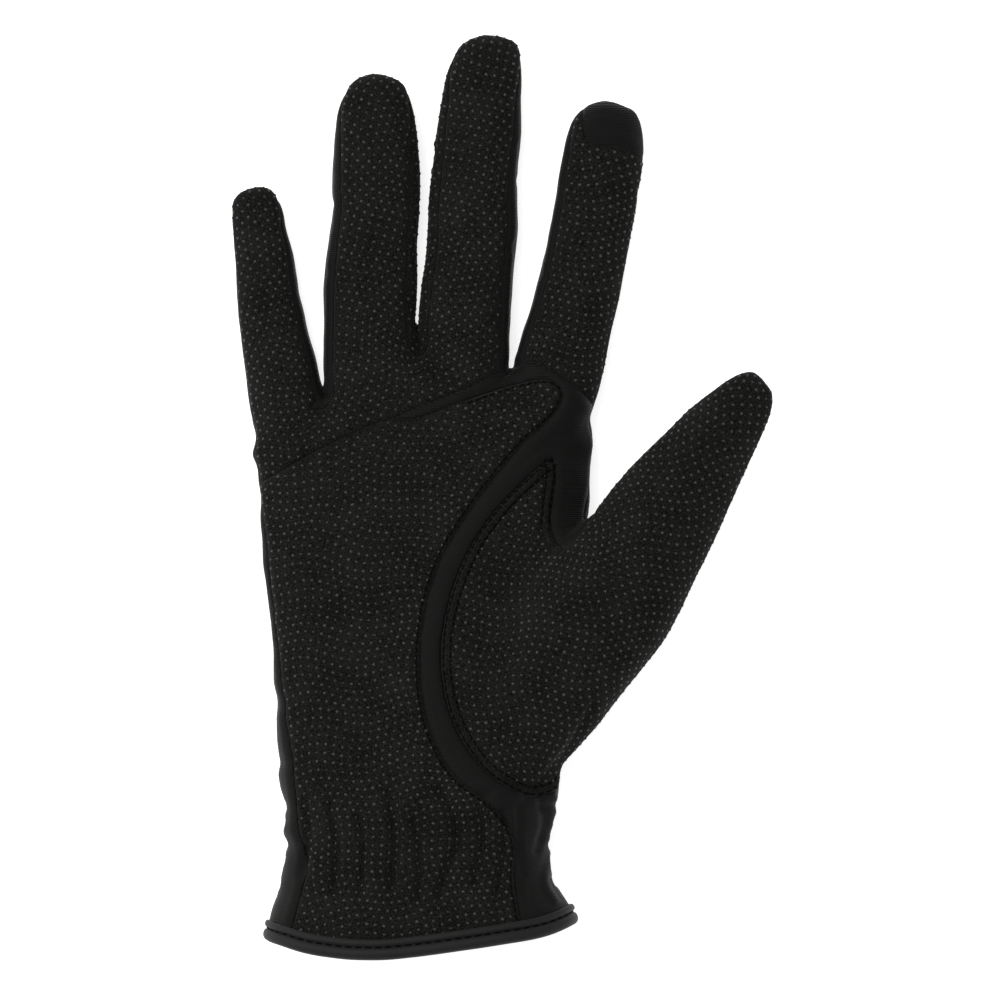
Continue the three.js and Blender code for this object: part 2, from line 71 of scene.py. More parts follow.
class Panel(IntEnum):
    """The cloth panels that the form is cut into, and the opening at its hem."""

    OPENING = 0
    PALM = 1
    FINGER_FRONT = 2
    INDEX_FRONT = 3
    INDEX_TIP = 4
    STRETCH_BASE = 5
    THUMB_FRONT = 6
    THUMB_BACK = 7
    BACK = 8
    STRIP_LITTLE_RING = 9
    STRIP_RING_MIDDLE = 10
    STRIP_MIDDLE_INDEX = 11


class Slot(Enum):
    """The record's material slots."""

    GRIP = "grip_cloth"
    STRETCH = "stretch_cloth"
    TOUCH = "touch_cloth"
    TAPE = "binding_tape"


def column(rows: Table, place: int, at: np.ndarray) -> np.ndarray:
    """Reads one column of a table smoothly between its rows.

    Args:
        rows: the table, with its key in the first column, rising.
        place: which column to read.
        at: the keys to read it at.

    Returns:
        One value for each key, held at the ends of the table.
    """
    table = np.array([[row[0], row[place]] for row in rows], float)
    keys, values = table[:, 0], table[:, 1]
    slopes = np.gradient(values, keys)
    at = np.clip(at, keys[0], keys[-1])
    i = np.clip(np.searchsorted(keys, at, side="right") - 1, 0, len(keys) - 2)
    gap = keys[i + 1] - keys[i]
    t = (at - keys[i]) / gap
    rise = values[i + 1] - values[i]
    steep = 3 * np.abs(rise / gap)
    low = np.clip(slopes[i], -steep, steep) * gap
    high = np.clip(slopes[i + 1], -steep, steep) * gap
    return values[i] + t * (low + t * (3 * rise - 2 * low - high + t * (low + high - 2 * rise)))


def curve(points: Table, steps: int = 12) -> np.ndarray:
    """The smooth curve through some points.

    Args:
        points: the points, in any one unit.
        steps: how many pieces each stretch between two points gets.

    Returns:
        The points along the curve, one row each.
    """
    p = np.array(points, float)
    p = np.vstack([p[:1], p, p[-1:]])
    t = np.linspace(0, 1, steps, endpoint=False)[:, None]
    out = []
    for a, b, c, d in zip(p, p[1:], p[2:], p[3:]):
        v, w = (c - a) / 2, (d - b) / 2
        out.append(b + t * v + t**2 * (3 * (c - b) - 2 * v - w) + t**3 * (2 * (b - c) + v + w))
    return np.vstack([*out, p[-1:]])


def inside(outline: np.ndarray, at: np.ndarray) -> np.ndarray:
    """Tells which points lie inside a closed outline.

    Args:
        outline: the corners of the outline.
        at: the points to test.

    Returns:
        One truth value for each point.
    """
    hit = np.zeros(len(at), bool)
    x, y = at[:, 0], at[:, 1]
    for (x0, y0), (x1, y1) in zip(outline, np.roll(outline, -1, axis=0)):
        if y0 != y1:
            hit ^= ((y0 > y) != (y1 > y)) & (x < (x1 - x0) * (y - y0) / (y1 - y0) + x0)
    return hit


def ease(low: float, high: float, at: np.ndarray) -> np.ndarray:
    """A smooth step from 0 at low to 1 at high."""
    t = np.clip((np.asarray(at, float) - low) / (high - low), 0, 1)
    return t * t * (3 - 2 * t)


def hump(middle: float, reach: float, at: np.ndarray) -> np.ndarray:
    """A smooth bump of height 1 that ends at a reach on either side of its middle."""
    return np.cos(np.clip((np.asarray(at, float) - middle) / reach, -1, 1) * math.pi / 2) ** 2


def face_edges(faces: np.ndarray) -> np.ndarray:
    """The corner pairs along the sides of four-sided faces, each side with its lower corner first."""
    return np.sort(np.concatenate([faces[:, [i, (i + 1) % 4]] for i in range(4)]), axis=1)


def spread(points: np.ndarray, faces: np.ndarray) -> np.ndarray:
    """The cross product of the diagonals of each face: along its normal, and twice its area long."""
    a, b, c, d = (points[faces[:, i]] for i in range(4))
    return np.cross(c - a, d - b)


def lengths_along(line: np.ndarray) -> np.ndarray:
    """The distance along a line of each of its points."""
    return np.concatenate([[0], np.cumsum(np.linalg.norm(np.diff(line, axis=0), axis=1))])


def nearest_tree(points: np.ndarray) -> KDTree:
    """Makes a search tree over some points.

    Args:
        points: the points, one row each.

    Returns:
        The tree, whose entries are numbered as the points are.
    """
    tree = KDTree(len(points))
    for i, point in enumerate(points):
        tree.insert(point, i)
    tree.balance()
    return tree


def mesh_points(mesh: bpy.types.Mesh) -> np.ndarray:
    """Reads the points of a mesh.

    Args:
        mesh: the mesh.

    Returns:
        Its points, one row each.
    """
    points = np.empty(len(mesh.vertices) * 3)
    mesh.vertices.foreach_get("co", points)
    return points.reshape(-1, 3)


def link_mesh(name: str, mesh: bpy.types.Mesh) -> bpy.types.Object:
    """Makes a new object in the scene that shows a mesh.

    Args:
        name: the name of the object.
        mesh: the mesh.

    Returns:
        The object.
    """
    piece = bpy.data.objects.new(name, mesh)
    bpy.context.scene.collection.objects.link(piece)
    return piece


def shape_object(name: str, shape: bmesh.types.BMesh) -> bpy.types.Object:
    """Makes a new object in the scene from a shape.

    Args:
        name: the name of the object and of its mesh.
        shape: the shape, which is freed.

    Returns:
        The object.
    """
    mesh = bpy.data.meshes.new(name)
    shape.to_mesh(mesh)
    shape.free()
    return link_mesh(name, mesh)


def section(left: float, right: float, centre: float, half: float, dip: float, floor: float,
            count: int, square: float) -> np.ndarray:
    """One cross-section of a rounded form.

    Args:
        left: its reach to the left of the axis.
        right: its reach to the right.
        centre: height of its widest line.
        half: its reach above and below that line.
        dip: how far the middle of its upper side sinks.
        floor: lowest height, where the form is flattened.
        count: number of points.
        square: 2 is an ellipse, more is squarer.

    Returns:
        Its points as [across, height], anticlockwise from the right.
    """
    turn = np.linspace(0, 2 * math.pi, count, endpoint=False)
    across = np.sign(np.cos(turn)) * np.abs(np.cos(turn)) ** (2 / square)
    up = np.sign(np.sin(turn)) * np.abs(np.sin(turn)) ** (2 / square)
    x = across * np.where(across < 0, left, right)
    z = centre + up * half - np.where(up > 0, dip * (1 - across**2) ** 2, 0)
    soft = 0.6
    z = np.where(z > floor + soft, z, floor + soft * np.exp(np.minimum((z - floor - soft) / soft, 0)))
    return np.column_stack([x, z])


def skin(bm: bmesh.types.BMesh, rings: Sequence[np.ndarray], capped: bool = True) -> None:
    """Skins a form over rings of points by extruding one circle from ring to ring.

    Args:
        bm: the mesh it is added to.
        rings: the rings, each with the same number of points.
        capped: whether the two ends are closed; otherwise the last ring is joined to the first.
    """
    rings = rings if capped else [*rings, rings[0]]
    count = len(rings[0])
    loop = bmesh.ops.create_circle(bm, segments=count, radius=1)["verts"]
    first_edges = list({edge for vert in loop for edge in vert.link_edges})
    edges = first_edges
    for vert, point in zip(loop, rings[0]):
        vert.co = point
    for ring in rings[1:]:
        made = bmesh.ops.extrude_edge_only(bm, edges=edges)["geom"]
        fresh = {item for item in made if isinstance(item, bmesh.types.BMVert)}
        loop = [next(e.other_vert(v) for e in v.link_edges if e.other_vert(v) in fresh) for v in loop]
        for vert, point in zip(loop, ring):
            vert.co = point
        edges = [e for e in made if isinstance(e, bmesh.types.BMEdge) and set(e.verts) <= fresh]
    if capped:
        bmesh.ops.edgeloop_fill(bm, edges=first_edges)
        bmesh.ops.edgeloop_fill(bm, edges=edges)
    else:
        bmesh.ops.remove_doubles(bm, verts=bm.verts, dist=1e-5)


@dataclass
class Digit:
    """A finger or the thumb.

    root is its place on the hand, lean its angle towards the thumb's side in degrees. Each row of outline
    is [share of the length, reach to the left, reach to the right], each row of profile [share of the
    length, height of the widest line, half the depth], the last two as shares of the depth.
    """

    name: str
    root: tuple[float, float]
    lean: float
    length: float
    depth: float
    outline: Table
    profile: Table
    square: float = 2.35
    rows: int = 60

    def axes(self) -> tuple[np.ndarray, np.ndarray]:
        """Its directions along and across, seen from above."""
        a = math.radians(self.lean)
        return np.array([math.sin(a), math.cos(a)]), np.array([math.cos(a), -math.sin(a)])

    def place(self, at: np.ndarray) -> tuple[np.ndarray, np.ndarray]:
        """The distances of some points along and across the digit.

        Args:
            at: the points on the hand.

        Returns:
            Their distance along it from its root, and to the right of its axis.
        """
        along, across = self.axes()
        rel = np.asarray(at, float)[:, :2] - self.root
        return rel @ along, rel @ across

    def point(self, along: float, across: float) -> np.ndarray:
        """The point of the hand at a distance along and across the digit."""
        u, v = self.axes()
        return np.array(self.root) + along * u + across * v

    def rings(self, count: int = 56) -> list[np.ndarray]:
        """The cross-sections it is skinned over.

        Args:
            count: number of points in each.

        Returns:
            The rings, from the root to the tip.
        """
        shares = np.concatenate([
            np.linspace(self.outline[0][0], 0.84, self.rows), 1 - 0.16 * np.cos(np.linspace(0.1, math.pi / 2, 16))
        ])
        rings = []
        for at in shares:
            left, right = (float(column(self.outline, i, at)) for i in (1, 2))
            centre, half = (float(column(self.profile, i, at)) * self.depth for i in (1, 2))
            flat = section(left, right, centre, half, 0, 0, count, self.square)
            base = [self.point(at * self.length, x) for x in flat[:, 0]]
            rings.append(np.column_stack([np.array(base), flat[:, 1]]))
        return rings


FINGER_PROFILE = [
    [-0.4, 0.56, 0.35], [-0.25, 0.55, 0.5], [-0.1, 0.52, 0.57], [0, 0.5, 0.56], [0.3, 0.47, 0.53], [0.6, 0.49, 0.5],
    [0.8, 0.54, 0.44], [0.9, 0.58, 0.38], [0.95, 0.6, 0.31], [0.985, 0.61, 0.21], [1.0, 0.61, 0.08],
]
THUMB_PROFILE = [
    [-0.42, 0.5, 0.46], [-0.2, 0.58, 0.56], [0, 0.68, 0.59], [0.2, 0.74, 0.55], [0.35, 0.77, 0.5],
    [0.5, 0.79, 0.44], [0.7, 0.81, 0.37], [0.85, 0.83, 0.31], [0.93, 0.84, 0.25], [0.975, 0.84, 0.17],
    [1.0, 0.84, 0.07],
]


def hand_digits() -> dict[str, Digit]:
    """The four fingers and the thumb, from the little finger on.

    Returns:
        Each digit by its name.
    """
    little = Digit(
        "little", (-35.4, 144.0), -8.1, 57.0, 13.8, profile=FINGER_PROFILE,
        outline=[
            [-0.36, 6.0, 11.0], [-0.13, 9.6, 11.0], [0, 10.1, 9.4], [0.1, 10.1, 8.8], [0.2, 9.8, 8.4],
            [0.3, 9.8, 7.6], [0.4, 9.8, 7.3], [0.5, 9.5, 6.6], [0.6, 8.9, 6.6], [0.7, 8.4, 6.4],
            [0.8, 8.1, 5.7], [0.86, 7.9, 5.6], [0.9, 7.5, 5.4], [0.94, 7.2, 4.7], [0.97, 5.9, 3.8],
            [0.99, 4.2, 2.5], [1.0, 2.0, 1.0],
        ],
    )
    ring = Digit(
        "ring", (-13.8, 158.4), 1.0, 71.3, 15.5, profile=FINGER_PROFILE,
        outline=[
            [-0.38, 11.0, 14.0], [0, 12.4, 12.2], [0.1, 12.5, 11.2], [0.2, 12.7, 11.4], [0.3, 12.3, 11.5],
            [0.4, 11.6, 11.4], [0.5, 10.7, 11.8], [0.6, 10.9, 11.9], [0.7, 10.7, 11.5], [0.8, 10.3, 10.6],
            [0.86, 9.9, 9.9], [0.9, 9.2, 9.2], [0.94, 7.9, 8.2], [0.97, 6.2, 6.6], [0.99, 4.0, 4.0],
            [1.0, 1.8, 1.6],
        ],
    )
    middle = Digit(
        "middle", (10.9, 156.5), 3.9, 83.7, 15.5, profile=FINGER_PROFILE,
        outline=[
            [-0.32, 13.0, 13.5], [0, 12.5, 11.1], [0.1, 13.0, 10.8], [0.2, 12.8, 10.7], [0.3, 12.3, 10.7],
            [0.4, 12.3, 10.9], [0.5, 12.4, 10.3], [0.6, 12.0, 10.0], [0.7, 11.5, 10.2], [0.8, 10.7, 9.6],
            [0.86, 10.1, 9.4], [0.9, 9.4, 9.2], [0.94, 8.2, 8.8], [0.97, 6.4, 7.9], [0.99, 3.9, 6.0],
            [1.0, 1.6, 2.6],
        ],
    )
    index = Digit(
        "index", (34.3, 153.2), 10.8, 70.9, 15.5, profile=FINGER_PROFILE,
        outline=[
            [-0.34, 11.5, 7.5], [-0.12, 11.6, 11.4], [0, 11.0, 12.1], [0.1, 10.5, 12.3], [0.2, 9.5, 12.5],
            [0.3, 9.0, 12.8], [0.4, 8.6, 12.7], [0.5, 8.5, 12.7], [0.6, 8.6, 12.7], [0.7, 8.9, 12.4], [0.8, 8.6, 12.2],
            [0.86, 8.3, 11.5], [0.9, 7.8, 10.8], [0.94, 6.6, 9.7], [0.97, 4.8, 8.3], [0.99, 2.4, 6.4],
            [1.0, 0.8, 3.0],
        ],
    )
    thumb = Digit(
        "thumb", (35.4, 79.9), 34.8, 88.0, 23.0, profile=THUMB_PROFILE,
        outline=[
            [-0.42, 13.6, 14.6], [-0.22, 16.5, 18.0], [0, 16.3, 19.4], [0.1, 16.1, 20.2], [0.2, 15.6, 20.6],
            [0.3, 14.7, 19.5], [0.4, 13.4, 18.1], [0.5, 12.7, 16.8], [0.6, 11.8, 15.2], [0.7, 10.0, 13.5],
            [0.8, 8.3, 11.8], [0.86, 6.8, 10.9], [0.9, 5.7, 10.3], [0.94, 4.4, 9.2], [0.97, 3.0, 7.8],
            [0.99, 1.5, 5.8], [1.0, 0.5, 2.6],
        ],
    )
    return {digit.name: digit for digit in (little, ring, middle, index, thumb)}


@dataclass
class PalmForm:
    """The palm and cuff.

    Each row of outline is [height above the hem, reach to the left, reach to the right]. Each row of
    depths is [share of the palm's length, depth, dip of its middle, lift of its underside].
    """

    outline: Table = (
        [-12, 41.5, 41.0], [0, 41.2, 40.4], [6, 40.8, 39.6], [10, 40.3, 38.9], [12.7, 39.7, 38.1],
        [14.8, 39.0, 36.8], [16.9, 38.2, 35.4], [19.0, 38.0, 34.1], [21.1, 37.4, 33.3], [23.1, 36.9, 32.8],
        [25.2, 36.7, 32.7], [27.3, 36.1, 32.7], [29.4, 35.6, 32.4], [31.5, 36.4, 32.1], [33.5, 36.8, 32.8],
        [35.6, 36.4, 33.3], [37.7, 36.0, 33.8], [39.8, 36.1, 34.3], [41.9, 36.7, 34.6], [43.9, 37.4, 34.8],
        [46.0, 37.7, 34.9], [48.1, 38.0, 35.2], [50.2, 37.4, 35.4], [52.3, 37.7, 35.6], [54.3, 38.0, 35.8],
        [61.6, 38.5, 36.6], [66.8, 38.2, 37.2], [72.0, 39.3, 37.8], [77.2, 39.3, 38.3], [82.4, 39.5, 38.9],
        [87.6, 40.0, 39.5], [92.8, 40.6, 40.1], [98.0, 41.3, 40.7], [103.2, 42.1, 41.2], [108.4, 42.1, 41.8],
        [113.6, 42.6, 42.4], [118.8, 42.6, 42.9], [124.0, 43.4, 43.0], [129.2, 43.4, 43.2], [134.4, 43.7, 43.6],
        [139.6, 44.7, 44.1], [144.8, 45.3, 44.0], [150.0, 44.6, 43.2], [158.0, 42.0, 41.0],
    )
    depths: Table = (
        [-0.08, 29.0, 0.0, 1.5], [0.045, 28.4, 0.0, 1.5], [0.075, 27.9, 0.0, 1.4], [0.114, 27.2, 0.0, 0.3],
        [0.155, 27.0, 0.0, 0.0], [0.24, 26.5, 0.0, 0.0], [0.352, 26.0, 1.25, 0.0], [0.5, 25.5, 2.5, 0.0],
        [0.64, 23.5, 2.25, 0.0], [0.777, 21.3, 1.25, 0.0], [0.862, 19.5, 0.5, 0.0], [0.95, 17.8, 0.0, 0.0],
        [1.0, 12.5, 0.0, 0.0],
    )
    web: Table = (
        [-47.9, 0.88], [-25.8, 0.941], [-1.6, 1.035], [22.4, 1.001], [47.9, 0.91],
    )
    centre: float = 0.45
    square: float = 2.5
    bend_from: float = 0.8

    def rings(self, count: int = 120, rows: int = 110) -> list[np.ndarray]:
        """The cross-sections it is skinned over, bent at their far end towards the line of the crotches.

        Args:
            count: number of points in each.
            rows: number of rings.

        Returns:
            The rings, from the hem to the crotches.
        """
        rings = []
        web = np.array(self.web)
        for at in np.linspace(-0.06, 1.0, rows):
            left, right = (float(column(self.outline, i, at * PALM_LENGTH)) for i in (1, 2))
            depth, dip, floor = (float(column(self.depths, i, at)) for i in (1, 2, 3))
            flat = section(left, right, self.centre * depth, (1 - self.centre) * depth, dip, floor, count,
                           self.square)
            bend = float(ease(self.bend_from, 1, at)) * (np.interp(flat[:, 0], web[:, 0], web[:, 1]) - 1)
            rings.append(np.column_stack([flat[:, 0], (at + bend) * PALM_LENGTH, flat[:, 1]]))
        last = rings[-1].copy()
        last[:, 2] = last[:, 2].mean() + 0.02 * (last[:, 2] - last[:, 2].mean())
        return [*rings, last]


@dataclass
class SeamLines:
    """Where the seams run. Those of the palm side are points on the hand, as [share of half the palm's
    width, share of its length]; the tip's is in shares of half the index finger and of its length."""

    cross: Table = (
        [-1.15, 0.78], [-0.95, 0.812], [-0.54, 0.877], [-0.08, 0.931], [0.24, 0.967], [0.56, 1.012],
    )
    patch: Table = (
        [-0.24, 0.925], [-0.1, 0.912], [0.19, 0.941], [0.53, 0.974], [0.74, 0.983], [0.83, 0.962],
        [0.77, 0.921], [0.57, 0.868], [0.29, 0.768], [0.08, 0.667], [-0.02, 0.55], [0.0, 0.42],
        [0.16, 0.318], [0.42, 0.257], [0.54, 0.2], [0.54, 0.12], [0.66, -0.06],
    )
    index: Table = (
        [0.5, 1.022], [0.62, 1.013], [0.78, 0.997], [0.93, 0.965], [1.15, 0.89],
    )
    thumb: Table = (
        [1.18, 0.415], [1.02, 0.36], [0.86, 0.305], [0.74, 0.28], [0.57, 0.282], [0.32, 0.333],
        [0.14, 0.43], [0.11, 0.552], [0.24, 0.678], [0.46, 0.772], [0.765, 0.853],
    )
    flap: Table = (
        [0.77, 0.853], [0.782, 0.82], [0.765, 0.78], [0.75, 0.735], [0.79, 0.702], [0.87, 0.707],
        [1.0, 0.752], [1.22, 0.84],
    )
    outer: Table = (
        [-1.25, 0.9], [-1.03, 0.82], [-0.962, 0.74], [-0.925, 0.64], [-0.88, 0.534], [-0.837, 0.425],
        [-0.785, 0.33], [-0.755, 0.23], [-0.7, 0.165], [-0.74, 0.105], [-0.9, -0.06],
    )
    thumb_back: Table = (
        [1.22, 0.84], [1.0, 0.752], [0.93, 0.7], [0.9, 0.6], [0.87, 0.5], [0.83, 0.4], [0.85, 0.33],
        [1.0, 0.36], [1.18, 0.4],
    )
    tip: Table = (
        [-1.4, 1.1], [-0.669, 1.02], [-0.48, 0.907], [-0.35, 0.84], [-0.085, 0.826], [0.503, 0.839],
        [1.49, 0.789],
    )
    hem: Table = (
        [-54, 8.8], [-41.9, 4.95], [-33.2, 2.1], [-22.8, 0.33], [-8.3, 0.22], [5.0, 1.76], [19.1, 3.85],
        [32.8, 6.3], [41.5, 11.0], [54, 20.9],
    )
    side: Table = (
        [-0.2, 13.6], [0.05, 13.6], [0.25, 12.4], [0.5, 11.5], [0.85, 9.5], [1.0, 7.75], [1.2, 7.3],
        [1.35, 8.1], [1.7, 9.3],
    )
    under_thumb: Table = (
        [-0.45, 0.1], [-0.2, 0.15], [0.1, 0.3], [0.3, 0.68], [0.42, 1.0], [0.7, 1.4], [1.1, 1.4],
    )
    strips: Table = (
        [0, 0.36, 0.2], [0.35, 0.37, 0.2], [0.65, 0.34, 0.18], [0.85, 0.26, 0.14], [1, 0.03, 0.03],
    )
    strip_starts: tuple[float, float, float] = (2.0, 6.5, 1.5)
    strip_end: float = 0.95
    strip_reach: float = 5.0
    fold: float = 2.1

    @staticmethod
    def on_hand(shares: Table) -> np.ndarray:
        """A smooth line on the hand through points given in shares of the palm."""
        return curve(shares) * [HALF_PALM, PALM_LENGTH]


@dataclass
class GloveNet:
    """The net of the whole glove's surface, with a panel for each of its faces."""

    points: np.ndarray
    quads: np.ndarray
    panel: np.ndarray = field(default_factory=lambda: np.zeros(0, int))
    edges: np.ndarray = field(default_factory=lambda: np.zeros((0, 2), int))
    edge_faces: np.ndarray = field(default_factory=lambda: np.zeros((0, 2), int))

    def __post_init__(self) -> None:
        """Finds the edges and the two faces at each."""
        faces = np.tile(np.arange(len(self.quads)), 4)
        ordered = face_edges(self.quads)
        order = np.lexsort((ordered[:, 1], ordered[:, 0]))
        ordered, faces = ordered[order], faces[order]
        self.edges = ordered[::2]
        self.edge_faces = np.column_stack([faces[::2], faces[1::2]])

    def centres(self) -> np.ndarray:
        """The middle of each face."""
        return self.points[self.quads].mean(axis=1)

    def normals(self) -> np.ndarray:
        """The direction out of the surface at each point.

        Returns:
            One unit direction for each point.
        """
        flat = spread(self.points, self.quads)
        out = np.zeros_like(self.points)
        for i in range(4):
            np.add.at(out, self.quads[:, i], flat)
        return out / np.maximum(np.linalg.norm(out, axis=1, keepdims=True), 1e-12)

    def relaxed(self, points: np.ndarray, mask: np.ndarray, share: float, edges: np.ndarray) -> np.ndarray:
        """Moves points part of the way to the middle of their neighbours.

        Args:
            points: the points to start from.
            mask: which of them move.
            share: how much of the way they move.
            edges: the pairs that count as neighbours.

        Returns:
            The moved points.
        """
        total = np.zeros_like(points)
        count = np.zeros(len(points))
        for a, b in ((0, 1), (1, 0)):
            np.add.at(total, edges[:, a], points[edges[:, b]])
            np.add.at(count, edges[:, a], 1)
        middle = total / np.maximum(count, 1)[:, None]
        out = points.copy()
        out[mask] += share * (middle[mask] - points[mask])
        return out

    def seam_edges(self) -> np.ndarray:
        """Which edges lie between two panels."""
        return self.panel[self.edge_faces[:, 0]] != self.panel[self.edge_faces[:, 1]]


@dataclass
class GloveForm:
    """The closed form of the filled hand, before it is cut into panels."""

    digits: dict[str, Digit] = field(default_factory=hand_digits)
    palm: PalmForm = field(default_factory=PalmForm)
    voxel: float = 0.8
    smoothing: tuple[float, ...] = (0.5, -0.52) * 3
    parting: float = 0.55
    drawn_share: float = 0.9
    normals_every: int = 10
    mound_rounds: int = 160
    root_rounds: int = 30
    side_rounds: int = 20
    side_left_of: float = -36.0
    side_between: tuple[float, float] = (118.0, 142.0)
    gaps: tuple[tuple[tuple[float, float], ...], ...] = (
        ((-25.7, 144.0), (-26.2, 152.6), (-31.2, 178.6), (-36.0, 199.0), (-44.0, 240.0)),
        ((-1.6, 158.3), (-1.6, 168.2), (-1.5, 173.4), (-0.8, 178.6), (0.0, 189.0), (1.9, 199.4), (6.0, 250.0)),
        ((22.4, 153.1), (23.6, 157.8), (26.0, 173.0), (30.0, 196.8), (36.0, 240.0)),
    )

    def part(self, points: np.ndarray, way: int) -> np.ndarray:
        """Moves the fingers a little apart, so that they don't grow together, or back again.

        Args:
            points: the points to move.
            way: 1 to part the fingers, -1 to bring them back.

        Returns:
            The moved points.
        """
        out = points.copy()
        for gap in self.gaps:
            x, y = np.array(gap).T
            line = np.interp(points[:, 1], y, x)
            share = ease(y[0] - 1.5, y[0] + 6, points[:, 1])
            out[:, 0] += way * self.parting * share * np.sign(points[:, 0] - line)
        return out

    def span(self, net: GloveNet, where: np.ndarray, rounds: int) -> None:
        """Lets the cloth span the hollows of the form, as it does over a hand.

        Args:
            net: the net, whose points are moved outwards.
            where: how far each point takes part, from 0 to 1.
            rounds: how often the points move.
        """
        everywhere = np.ones(len(net.points), bool)
        for turn in range(rounds):
            if turn % self.normals_every == 0:
                normals = net.normals()
            drawn = net.relaxed(net.points, everywhere, 1.0, net.edges) - net.points
            out = np.maximum((drawn * normals).sum(axis=1), 0)
            net.points = net.points + normals * (self.drawn_share * where * out)[:, None]

    def build(self) -> GloveNet:
        """Joins the palm and the digits into one net of even squares.

        Returns:
            The net, in millimetres in the frame of the hand.
        """
        bm = bmesh.new()
        skin(bm, self.palm.rings())
        for digit in self.digits.values():
            skin(bm, [self.part(ring, 1) for ring in digit.rings()])
        bmesh.ops.recalc_face_normals(bm, faces=bm.faces)
        shape = shape_object("glove_form", bm)
        remesh = shape.modifiers.new("even", "REMESH")
        remesh.mode = "VOXEL"
        remesh.voxel_size = self.voxel
        even = shape.evaluated_get(bpy.context.evaluated_depsgraph_get()).to_mesh()
        net = GloveNet(mesh_points(even), np.array([tuple(face.vertices) for face in even.polygons]))
        shape.to_mesh_clear()
        bpy.data.meshes.remove(shape.data)
        everywhere = np.ones(len(net.points), bool)
        for share in self.smoothing:
            net.points = net.relaxed(net.points, everywhere, share, net.edges)
        net.points = self.part(net.points, -1)
        along, across = self.digits["thumb"].place(net.points)
        x, y, z = net.points.T
        mound = ease(-45, -25, along) * ease(42, 26, along) * ease(-34, -22, across) * ease(9, 14, z)
        self.span(net, mound, self.mound_rounds)
        roots = ease(112, 124, y) * ease(154, 146, y)
        self.span(net, roots, self.root_rounds)
        low, high = self.side_between
        outer_side = (x < self.side_left_of) & (y > low) & (y < high)
        for _ in range(self.side_rounds):
            net.points = net.relaxed(net.points, outer_side, 0.5, net.edges)
        log.info("form of the hand: %d faces", len(net.quads))
        return net


